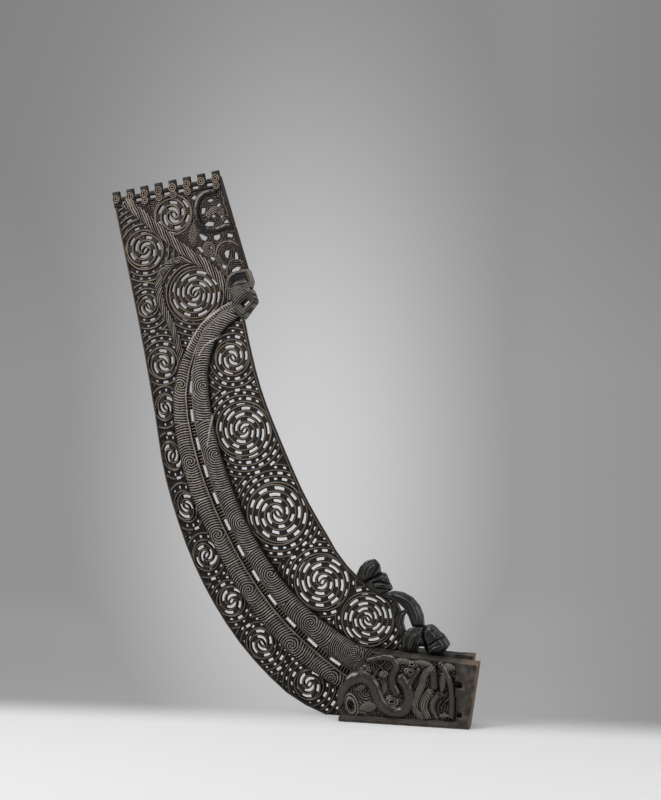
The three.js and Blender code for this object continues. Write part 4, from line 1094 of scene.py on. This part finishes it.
def rib_carving(centres, seams, depth):
    """Ripples that wind out of surface spirals, raised seams, and a bevel beside the gap."""
    gap_line = Path(RIB_GAP_LINE)
    seam_lines = [Path(points) for points in seams]

    def carve(x, z, edge, half):
        phase, _ = surface_spirals(centres, x, z)
        cut = ridges(phase + 0.1 * wobble(x, z, 60), 1, 0.8)
        _, across = gap_line.locate(x, z)
        inset = smooth(edge, 2.5, 5)
        beside = np.abs(across) < BEVEL_REACH
        level = half - depth * (1 - cut) * inset - 1.5 * (1 - rounded(edge, 4))
        bevel = BEVEL_SHARE * (half - BEVEL_FLOOR) * beside
        level = level - bevel * (1 - rounded(edge, BEVEL_REACH))
        # Painted shade in the grooves of the ripples, crests lighter from wear and a painted
        # highlight, and a little darker near the outline
        worn = inset * rubbed(cut, RIPPLE_CREST) - 0.1 * (1 - inset)
        lip = (np.abs(across) < LIP_REACH) * between(edge, 0.3, 1.5, 2.6, 4.2)
        for line in seam_lines:
            near = np.clip(1 - line.distance(x, z) / SEAM_HALF, 0, 1)
            level = level + SEAM_HEIGHT * near
            lip = np.maximum(lip, near)
        return level, np.maximum(worn, 0.9 * lip)

    return carve


def leaf_carving(route, half_width, length, strands, centres=()):
    """Leaves of fine strands that twist down a band, with surface spirals at any centres."""
    line = Path(route)

    def carve(x, z, edge, half):
        along, across = line.locate(x, z)
        share = np.clip(across / half_width, -1.1, 1.1)
        lean = half_width * (1.8 * share + 0.5 * share**3)
        flow = (along + lean) / length + 0.05 * wobble(x, z, 60)
        if centres:
            phase, reach = surface_spirals(centres, x, z)
            flow = np.where(reach < SCROLL_SPIRAL_RADIUS, phase / strands, flow)
        inside = ridges(flow, 1, 0.7)
        fine = ridges(flow * strands, 1, 0.8)
        level = half - 8 + 4 * inside + 4 * fine
        level = level - 3 * (1 - rounded(edge, 6))
        return level, rubbed(fine * (0.75 + 0.25 * inside), 0.45)

    return carve


def rib_head_gap(x, z):
    """How far each point lies outside the rib head's hole, along the nearer direction."""
    along, across = turned(x, z, RIB_HEAD_HOLE, RIB_HEAD_HOLE_ANGLE)
    return np.maximum(np.abs(along) - RIB_HEAD_HOLE_HALF[0], np.abs(across) - RIB_HEAD_HOLE_HALF[1])


def rib_head_hole(x, z, edge, half):
    """Where the rib head is cut through."""
    return rib_head_gap(x, z) < 0


def rib_head_carving(x, z, edge, half):
    """Square ridges that step down to the hole, on a body with rounded edges."""
    gap = rib_head_gap(x, z)
    cut = ridges(gap, RIB_HEAD_PITCH, 0.8)
    body = RIB_HEAD_LIP + (half - RIB_HEAD_LIP) * rounded(gap + 2, RIB_HEAD_RISE)
    body = body * (1 - 0.4 * (1 - rounded(edge, 14)) * smooth(gap, 8, 16))
    return body - 2.6 * (1 - cut), rubbed(cut)


def crest_carving(x, z, edge, half):
    """A plain bar and knobs with rounded edges, which lie lower than the bosses."""
    body = (half - 4) * (1 - 0.5 * (1 - rounded(edge, 8))) + 0.4 * wobble(x, z, 30)
    return body, 0.55 * between(edge, 0.2, 2, 3, 6) - 0.6


def body_carving(radius, cuts=(), ribs=()):
    """A smooth, rounded body with deep cuts and thin ribs, each given as points, width, depth."""
    parted, lined = ([(Path(points), *sizes) for points, *sizes in lines] for lines in (cuts, ribs))

    def carve(x, z, edge, half):
        level = half * (1 - 0.55 * (1 - rounded(edge, radius))) + 0.4 * wobble(x, z, 30)
        # The body is darkened a little toward the painted shade colour; ribs are lighter from wear
        # and a painted highlight, with painted shade beside them; cuts get painted shade
        worn = np.full(len(x), SMOOTH_DARKENING)
        for path, width, rise in lined:
            away = path.distance(x, z) / width
            near = np.clip(1 - away, 0, 1)
            beside = np.clip(1 - np.abs(away - 1.5), 0, 1)
            level = level + rise * near - 0.7 * rise * beside
            worn = worn + 0.75 * near - 0.7 * beside
        for path, width, depth in parted:
            near = np.clip(1 - path.distance(x, z) / width, 0, 1)
            level = level - depth * near**1.3
            worn = worn - 1.2 * near
        return level, np.clip(worn, -1, 1)

    return carve


def ladder_carving(x, z, edge, half):
    """Bars across each bridge between the ribs."""
    along, _ = Path(RIB_GAP_LINE).locate(x, z)
    bars = ridges(along, 10.5, 1.2)
    return half - 5 * (1 - bars), rubbed(bars, 0.5)


def tongue_carving(x, z, edge, half):
    """A smooth scooped hollow inside a raised double rim."""
    bowl = rounded(edge - TONGUE_RIM, HOLLOW_RADIUS)
    rim = ridges(edge, 4.5, 0.9) * (1 - smooth(edge, 8, 10))
    level = half * (1 - 0.25 * (1 - rounded(edge, 6))) - HOLLOW_DEPTH * bowl + 1.2 * rim
    lines = ridges(edge + 0.5 * wobble(x, z, 20), 6, 0.9)
    # Painted shade in the hollow; rim and lines lighter from wear and a painted highlight, with
    # painted shade in their grooves
    return level, np.where(bowl > 0, -0.35 * bowl, rubbed(np.maximum(rim, lines)))


def heel_carving(x, z, edge, half):
    """The plain parts of the heel, dented and lighter from wear at their edges, and the sunk faces'
    ground.
    """
    strip = smooth(half, HEEL_GROUND + 4, HEEL_HALF - 3)
    plain = HEEL_HALF - 1.2 + 0.8 * wobble(x, z, 70) - 3.5 * (1 - rounded(edge, 7))
    carved = 1 - smooth(x, *HEEL_CARVED_END)
    plain = plain - carved * (12 * smooth(z, 150, 170) + 11 * smooth(z, 6, 24) * (z < 100))
    level = (HEEL_GROUND - 1) * (1 - strip) + plain * strip
    lip = 1 - smooth(edge, 1, 6 + 4 * wobble(x, z, 40))
    where = np.maximum(smooth(x, *HEEL_WORN_END), 0.7 * (1 - smooth(z, 3, 9)))
    lines = carved * ridges(z + 0.1 * x + 1.5 * wobble(x, z, 60), 7, 0.8)
    stain = 0.5 * wobble(0.5 * x, z, 36) + 0.5 * wobble(x, 0.6 * z, 21, 1)
    stain = 0.28 * smooth(stain, 0, 0.5) - 0.3 * smooth(-stain, 0, 0.4)
    # The stains and the lighter edges are the wood's own; the grooves of the carved lines and the
    # sunk ground get painted shade
    worn = (lip + stain) * where - 0.75 * (1 - lines) * carved
    return level - 2 * carved * (1 - lines), worn * strip - 0.6 * (1 - strip)


def groove_wall(x):
    """Where each half of the heel ends inside: in the middle, or at the groove's wall."""
    return np.where(x > GROOVE_END, GROOVE_HALF, 0.0)


def inside_polygon(corners, x, z):
    inside = np.zeros(x.shape, bool)
    for (ax, az), (bx, bz) in zip(corners, corners[1:] + corners[:1]):
        if az != bz:
            crosses = (az > z) != (bz > z)
            inside ^= crosses & (x < (bx - ax) * (z - az) / (bz - az) + ax)
    return inside


def heel_faces(step):
    """The carving of the heel's near and far sunk faces, from the same heights."""
    corners = np.array(HEEL_CARVED_FACE)
    (low_x, low_z), (high_x, high_z) = corners.min(0), corners.max(0)
    step = step / MM
    xs = np.arange(low_x, high_x + step, step)
    zs = np.arange(low_z, high_z + step, step)
    points = np.stack(np.meshgrid(xs, zs, indexing="ij"), 2)
    middle = points[:-1, :-1] + step / 2
    solid = inside_polygon(HEEL_CARVED_FACE, middle[..., 0], middle[..., 1])
    x, z = points.reshape(-1, 2).T
    phase, _ = surface_spirals(HEEL_GROUND_SPIRALS, x, z)
    lines = ridges(phase + 0.1 * wobble(x, z, 50), 1, 1)
    # The ground between the shapes gets painted shade, and its ripples crests lighter from wear and
    # a painted highlight
    height, worn = raised(HEEL_SHAPES, x, z, 3 + 4 * lines, 0.8 * rubbed(lines) - 0.25)
    outer = HEEL_GROUND + np.minimum(height, HEEL_HALF - HEEL_GROUND - 0.4)
    inner = np.full(len(x), HEEL_GROUND - 2.0)
    points, inner, outer = points * MM, inner * MM, outer * MM
    sides = {"near": (-outer, -inner), "far": (inner, outer)}
    return {
        side: plate_mesh("heel_carving_" + side, solid, points, *layers, worn)
        for side, layers in sides.items()
    }


# Materials


def new_shader_group(name, *outputs, **inputs):
    """An empty shader group with named inputs, and outputs that are plain values."""
    return new_tree(name, "ShaderNodeTree", inputs, dict.fromkeys(outputs, "Float"))


def grain_group():
    """Old wood grain that runs up the raking slab: a tone from 0 to 1 and a fine height."""
    tree, graph, given = new_shader_group("Old wood grain", "Tone", "Height", Vector="Vector")
    place = given["Vector"]
    values = {"Vector": place, "Rotation": (0, -SLAB_RAKE, 0), "Scale": GRAIN_DRAW}
    drawn_out = graph.out("ShaderNodeMapping", values)
    fibre = graph.noise(drawn_out, FIBRE_SCALE, 5.0)
    patch = graph.noise(place, TONE_SCALE, 3.0)
    tone = graph.plus(graph.times(fibre, 0.55), graph.times(patch, 0.45))
    graph.add("NodeGroupOutput", {"Tone": graph.ramp(tone, 0.35, 0.65), "Height": fibre})
    return tree


def wear_group():
    """Crests lighter from wear and a painted highlight, broken up by a soft noise, and painted
    shade in cuts, with the heel's dark stains, from one value.
    """
    inputs = {"Vector": "Vector", "Worn": "Float"}
    tree, graph, given = new_shader_group("Rubbed ridges", "Rubbed", "Deep", **inputs)
    patch = graph.noise(given["Vector"], WEAR_SCALE, 4.0)
    crest = graph.times(graph.ramp(given["Worn"], 0.0, 1.0), graph.ramp(patch, 0.3, 0.7, 0.5, 1.0))
    graph.add("NodeGroupOutput", {"Rubbed": crest, "Deep": graph.ramp(given["Worn"], 0.0, -0.9)})
    return tree


def dust_group():
    """Grey-brown dust that lies in patches on the plain wood between crests and cuts."""
    inputs = {"Vector": "Vector", "Worn": "Float", "Amount": "Float"}
    tree, graph, given = new_shader_group("Dust in patches", "Mask", **inputs)
    patch = graph.ramp(graph.noise(given["Vector"], DUST_SCALE, 6.0), 0.45, 0.7)
    plain = graph.ramp(graph.maths("ABSOLUTE", given["Worn"]), 0.7, 0.2)
    graph.add("NodeGroupOutput", {"Mask": graph.times(graph.times(plain, patch), given["Amount"])})
    return tree


def shared_group(maker):
    """The shader group that a function makes, built once."""
    kept = maker.__name__
    for tree in bpy.data.node_groups:
        if tree.get("maker") == kept:
            return tree
    tree = maker()
    tree["maker"] = kept
    return tree


def emptied_graph(owner):
    """The graph of a material's or a world's own tree, with nothing in it."""
    owner.use_nodes = True
    owner.node_tree.nodes.clear()
    return Graph(owner.node_tree)


def wood_material(name, body, crest, dust, roughness, gloss, shine, grain_depth, height_spread):
    """Dark wood: painted shade, black in the cuts; crests lighter from wear and a painted
    highlight; lighter towards the top; dusty.
    """
    chosen = settings()
    material = bpy.data.materials.new(name)
    graph = emptied_graph(material)
    place = graph.add("ShaderNodeTexCoord").outputs["Object"]
    worn = graph.add("ShaderNodeAttribute", attribute_name="worn").outputs["Fac"]

    def placed(maker, **values):
        values = {"Vector": place, **values}
        return graph.add("ShaderNodeGroup", values, node_tree=shared_group(maker)).outputs

    grain = placed(grain_group)
    wear = placed(wear_group, Worn=worn)
    settled = placed(dust_group, Worn=worn, Amount=dust)["Mask"]
    tone = graph.mixed(grain["Tone"], [0.5 * value for value in body], body)
    bare = graph.mixed(settled, tone, chosen.dust_colour)
    # Painted shade: cuts are mixed toward a near-black colour, as are the heel's dark stains
    shaded = graph.mixed(wear["Deep"], bare, chosen.cut_colour)
    # Crests are mixed toward a light colour, for wear and a painted highlight
    blend = graph.mixed(wear["Rubbed"], shaded, crest)
    height = graph.add("ShaderNodeSeparateXYZ", {0: place}).outputs[2]
    # The colour is scaled darker towards the foot and lighter towards the top
    height_scale = graph.ramp(height, *GRADIENT_HEIGHTS, 1 - height_spread, 1 + height_spread)
    rough = graph.ramp(wear["Rubbed"], 0.0, 1.0, roughness, gloss)
    bump = {"Strength": 0.5, "Distance": grain_depth * MM, "Height": grain["Height"]}
    scaled = {0: blend, "Scale": height_scale}
    values = {
        "Base Color": graph.out("ShaderNodeVectorMath", scaled, operation="SCALE"),
        "Roughness": graph.plus(rough, graph.times(wear["Deep"], 0.25)),
        "Normal": graph.out("ShaderNodeBump", bump),
        "Specular IOR Level": shine,
    }
    shader = graph.out("ShaderNodeBsdfPrincipled", values)
    graph.add("ShaderNodeOutputMaterial", {0: shader})
    return material


def finish(name):
    """The named wood, made the first time it is asked for."""
    body, crest, *values = WOODS[name]
    colours = [getattr(settings(), setting) for setting in (body, crest)]
    return bpy.data.materials.get(name) or wood_material(name, *colours, *values)


# Settings that a user would change


def length(name, default, description):
    return bpy.props.FloatProperty(
        name=name, description=description, default=default * MM, unit="LENGTH"
    )


def colour(name, default, description):
    return bpy.props.FloatVectorProperty(
        name=name, description=description, default=default, subtype="COLOR", min=0.0, max=1.0
    )


class SternpostSettings(bpy.types.PropertyGroup):
    """Sizes and colours of the carving."""

    ridge_thickness: length("Ridge thickness", 20, "Thickness of the spirals' ridges")
    bridge_thickness: length("Bridge thickness", 17.9, "Thickness of the toothed bridges")
    ridge_step: length("Ridge step", 3.5, "Length of each straight step of a spiral ridge")
    fret_step: length("Fret step", 1.6, "Grid step of the pierced panels")
    rib_step: length("Rib step", 1.5, "Grid step of the two ribs")
    figure_step: length("Figure step", 1.4, "Grid step of the bands, figures and heel")
    ripple_depth: length("Ripple depth", 3.8, "Depth of the ripples cut into the ribs")
    body_colour: colour("Body", (0.022, 0.0178, 0.0145), "Dark wood of the slab")
    # The crest colours, here and below, stand for wear and a painted highlight
    crest_colour: colour("Crests", (0.265, 0.212, 0.164), "Rubbed crests of the slab")
    # Painted shade at the bottom of the cuts, which the heel's dark stains share
    cut_colour: colour("Cuts", (0.003, 0.0025, 0.0022), "Bottom of the cuts")
    dust_colour: colour("Dust", (0.085, 0.074, 0.062), "Dust on plain wood")
    band_crest_colour: colour("Band crests", (0.36, 0.312, 0.268), "Rubbed strands of the bands")
    inner_rib_colour: colour("Inner rib", (0.0125, 0.011, 0.0098), "Wood of inner rib and figures")
    # The ribs' crest colours are very light: wear and a painted highlight on their ripples
    inner_crest_colour: colour("Inner rib crests", (0.64, 0.58, 0.52), "Its rubbed ripples")
    outer_rib_colour: colour("Outer rib", (0.0135, 0.0115, 0.01), "Dark wood of the outer rib")
    outer_crest_colour: colour("Outer rib crests", (0.68, 0.6, 0.52), "Its rubbed ripples")
    figure_crest_colour: colour("Figure crests", (0.2, 0.17, 0.14), "Rubbed places of the figures")
    heel_carving_colour: colour("Heel carving", (0.03, 0.0242, 0.02), "Wood of the heel's carving")
    heel_crest_colour: colour("Heel crests", (0.29, 0.243, 0.2), "Rubbed places of that carving")
    heel_colour: colour("Heel", (0.038, 0.03, 0.024), "Plain wood of the heel")
    heel_edge_colour: colour("Heel edges", (0.2, 0.14, 0.092), "Worn edges of the heel")
    floor_colour: colour("Floor", (0.86, 0.86, 0.865), "Pale studio floor")
    backdrop_colour: colour("Backdrop", (0.225, 0.225, 0.23), "Darkest grey of the backdrop")
    backdrop_glow: colour("Backdrop glow", (0.62, 0.62, 0.625), "Light spot behind the object")


def settings():
    return bpy.context.scene.sternpost


# Operators, one for each kind of piece


class SternpostSpirals(bpy.types.Operator):
    """Pierce the double spirals"""

    bl_idname = "sternpost.spirals"
    bl_label = "Pierced spirals"

    def execute(self, context):
        tree = spiral_tree()
        for node in spiral_nodes():
            pierced_spiral(node, tree, settings())
        return {"FINISHED"}


class SternpostPanels(bpy.types.Operator):
    """Carve the fretwork between the spirals"""

    bl_idname = "sternpost.panels"
    bl_label = "Fretwork panels"

    def execute(self, context):
        members = {
            "aft_panel": [n for n in spiral_nodes() if n.startswith(("aft", "shoulder"))],
            "fore_panel": [n for n in spiral_nodes() if n.startswith("fore")],
            "heart_panel": ["heart_spiral"],
        }
        rules = {"crown_panel": (crown_carving, crown_hole)}
        for node, spirals in members.items():
            discs = [Disc(n) for n in spirals]
            rules[node] = fret_carving(discs), fret_slots(discs)
        step = settings().fret_step
        for node, (rule, pierce) in rules.items():
            carved_member(node, "dark_wood", "carved_wood", step, rule, pierce=pierce)
        return {"FINISHED"}


class SternpostRibs(bpy.types.Operator):
    """Carve the two rippled ribs and the ladder between them"""

    bl_idname = "sternpost.ribs"
    bl_label = "Ribs"

    def execute(self, context):
        step, depth = settings().rib_step, settings().ripple_depth / MM
        for node, centres, seams in (
            ("outer_rib", OUTER_RIB_SPIRALS, OUTER_RIB_SEAMS),
            ("inner_rib", INNER_RIB_SPIRALS, INNER_RIB_SEAMS),
        ):
            rule = rib_carving(centres, seams, depth)
            carved_member(node, node + "_wood", "rubbed_wood", step, rule, soften=8)
        carved_member("rib_web", "dark_wood", "carved_wood", step, ladder_carving)
        return {"FINISHED"}


class SternpostBands(bpy.types.Operator):
    """Carve the leafy bands, the crest with its bosses, the rib head and the tongue"""

    bl_idname = "sternpost.bands"
    bl_label = "Bands and crest"

    def execute(self, context):
        step = settings().figure_step
        scroll = leaf_carving(SCROLL_LINE, 16, 45, 3, SCROLL_SPIRALS)
        for node, wood, rule in (
            ("diagonal_band", "band_wood", leaf_carving(DIAGONAL_LINE, 23, 68, 4)),
            ("scroll_band", "band_wood", scroll),
            ("crest_rail", "dark_wood", crest_carving),
        ):
            carved_member(node, wood, "carved_wood", step, rule)
        for node, rule, hole in (
            ("crown_limb", body_carving(9), None),
            ("rib_head", rib_head_carving, rib_head_hole),
            ("tongue", tongue_carving, None),
        ):
            how = {"rounding": 8, "pierce": hole}
            carved_member(node, "figure_wood", "rubbed_wood", step, rule, **how)
        material = finish("dark_wood")
        sizes = {"Half Depth": BOSS_HALF_DEPTH * MM, "Tube": BOSS_TUBE, "Material": material}
        bosses = run_tree("crest_bosses", boss_tree(), boss_places(), sizes)
        dress(bosses, material, "carved_wood")
        return {"FINISHED"}


class SternpostFigures(bpy.types.Operator):
    """Carve the two heads, the arm and the hand on the fore edge"""

    bl_idname = "sternpost.figures"
    bl_label = "Figures"

    def execute(self, context):
        step = settings().figure_step
        for node, (radius, cuts, ribs) in FIGURES.items():
            rule = body_carving(radius, cuts, ribs)
            how = {"soften": 14, "rounding": 12}
            carved_member(node, "figure_wood", "rubbed_wood", step, rule, **how)
        return {"FINISHED"}


class SternpostHeel(bpy.types.Operator):
    """Carve both faces of the heel and wear down its block"""

    bl_idname = "sternpost.heel"
    bl_label = "Heel"

    def execute(self, context):
        step = settings().figure_step
        for name, piece in heel_faces(step).items():
            nodes = [part + name for part in ("serpent_", "serpent_neck_", "mask_")]
            dress(piece, finish("heel_carving_wood"), "rubbed_wood", *nodes)
        for name, side in (("near", -1), ("far", 1)):
            plate = ("heel_" + name, "heel_block", 1.6 * step, heel_carving)
            piece = carved_plate(*plate, soften=1, side=side, inner=groove_wall)
            dress(piece, finish("heel_wood"), "worn_wood", "heel_block")
        return {"FINISHED"}


# Stage


def world_light():
    """Soft grey light from all round, and a grey backdrop with a light spot behind the object."""
    world = bpy.data.worlds.new("studio")
    bpy.context.scene.world = world
    graph = emptied_graph(world)
    toward = graph.add("ShaderNodeTexCoord").outputs["Generated"]

    def share_of(direction):
        values = {0: toward, 1: direction}
        return graph.add("ShaderNodeVectorMath", values, operation="DOT_PRODUCT").outputs["Value"]

    def squared(value, middle, half_size):
        return graph.maths("POWER", graph.over(graph.plus(value, -middle), half_size), 2.0)

    ahead = graph.maths("MAXIMUM", share_of(BACKDROP_AHEAD), 0.05)
    right = graph.over(share_of(BACKDROP_RIGHT), ahead)
    up = graph.over(share_of((0, 0, 1)), ahead)
    away = graph.plus(squared(right, *SPOT_ACROSS), squared(up, *SPOT_UP))
    spot = graph.maths("EXPONENT", graph.times(away, -2.0))
    rise, fall = (graph.ramp(right, *places) for places in (RIGHT_RISE, RIGHT_FALL))
    side = graph.maths("SUBTRACT", rise, fall)
    foot = graph.plus(*(graph.ramp(up, *places) for places in FOOT_RISES))
    low = graph.times(foot, graph.ramp(right, *FOOT_END))
    middle = graph.ramp(up, *MIDDLE_RISE)
    share = graph.maths("MAXIMUM", spot, graph.plus(side, graph.plus(middle, low)))
    colour_there = graph.mixed(share, settings().backdrop_colour, settings().backdrop_glow)
    backdrop = graph.out("ShaderNodeBackground", {"Color": colour_there, "Strength": 1.0})
    fill = graph.out("ShaderNodeBackground", {"Color": (1, 1, 1, 1), "Strength": FILL_STRENGTH})
    rays = graph.add("ShaderNodeLightPath").outputs
    mirrored = graph.maths("MAXIMUM", rays["Is Glossy Ray"], rays["Is Transmission Ray"])
    seen = graph.maths("MAXIMUM", rays["Is Camera Ray"], mirrored)
    both = graph.out("ShaderNodeMixShader", {0: seen, 1: fill, 2: backdrop})
    graph.add("ShaderNodeOutputWorld", {0: both})


def floor_material():
    """A pale floor that fades into the backdrop behind the object."""
    material = bpy.data.materials.new("pale_floor")
    graph = emptied_graph(material)
    place = graph.add("ShaderNodeTexCoord").outputs["Object"]
    parts = graph.add("ShaderNodeSeparateXYZ", {0: place}).outputs
    depth = graph.maths("MULTIPLY_ADD", parts[0], FLOOR_SLANT, parts[1])
    fade = graph.ramp(depth, *FLOOR_FADE, kind="SMOOTHSTEP")
    shader = graph.out("ShaderNodeBsdfDiffuse", {"Color": (*settings().floor_colour, 1)})
    clear = graph.out("ShaderNodeBsdfTransparent")
    both = graph.out("ShaderNodeMixShader", {0: fade, 1: clear, 2: shader})
    graph.add("ShaderNodeOutputMaterial", {0: both})
    return material


def soft_lamp(name, place, toward, size, power):
    lamp = bpy.data.lights.new(name, "AREA")
    lamp.shape = "RECTANGLE"
    lamp.size, lamp.size_y = size
    lamp.energy = power
    holder = linked(name, lamp)
    holder.location = place
    holder.rotation_euler = (Vector(toward) - Vector(place)).to_track_quat("-Z", "Y").to_euler()


class SternpostStage(bpy.types.Operator):
    """Set the pale floor, the soft lights and the camera"""

    bl_idname = "sternpost.stage"
    bl_label = "Stage"

    def execute(self, context):
        scene = context.scene
        scene.view_settings.view_transform = "Standard"
        world_light()
        corners = np.array([(-1, -1, 0), (1, -1, 0), (1, 1, 0), (-1, 1, 0)]) * FLOOR_HALF
        floor = mesh_from("floor", corners, np.array([(0, 1, 2, 3)]))
        floor.data.materials.append(floor_material())
        for lamp in SOFTBOXES:
            soft_lamp(*lamp)
        camera = bpy.data.cameras.new("camera")
        camera.sensor_width = SENSOR_WIDTH
        camera.lens = CAMERA_LENS
        scene.camera = linked("camera", camera)
        scene.camera.location = CAMERA_PLACE
        scene.camera.rotation_euler = (math.pi / 2, 0, CAMERA_TURN)
        return {"FINISHED"}


class SternpostPanel(bpy.types.Panel):
    """Lists the operators and the settings"""

    bl_idname = "VIEW3D_PT_sternpost"
    bl_label = "Sternpost"
    bl_space_type = "VIEW_3D"
    bl_region_type = "UI"
    bl_category = "Sternpost"

    def draw(self, context):
        for name in SternpostSettings.__annotations__:
            self.layout.prop(context.scene.sternpost, name)
        for operator in OPERATORS:
            self.layout.operator(operator.bl_idname)


OPERATORS = (
    SternpostStage,
    SternpostSpirals,
    SternpostPanels,
    SternpostRibs,
    SternpostBands,
    SternpostFigures,
    SternpostHeel,
)
CLASSES = (SternpostSettings, *OPERATORS, SternpostPanel)


def register():
    for cls in CLASSES:
        bpy.utils.register_class(cls)
    bpy.types.Scene.sternpost = bpy.props.PointerProperty(type=SternpostSettings)


def unregister():
    del bpy.types.Scene.sternpost
    for cls in reversed(CLASSES):
        bpy.utils.unregister_class(cls)


def main():
    register()
    bpy.ops.sternpost.stage()
    bpy.ops.sternpost.spirals()
    bpy.ops.sternpost.panels()
    bpy.ops.sternpost.ribs()
    bpy.ops.sternpost.bands()
    bpy.ops.sternpost.figures()
    bpy.ops.sternpost.heel()


if __name__ == "__main__":
    main()
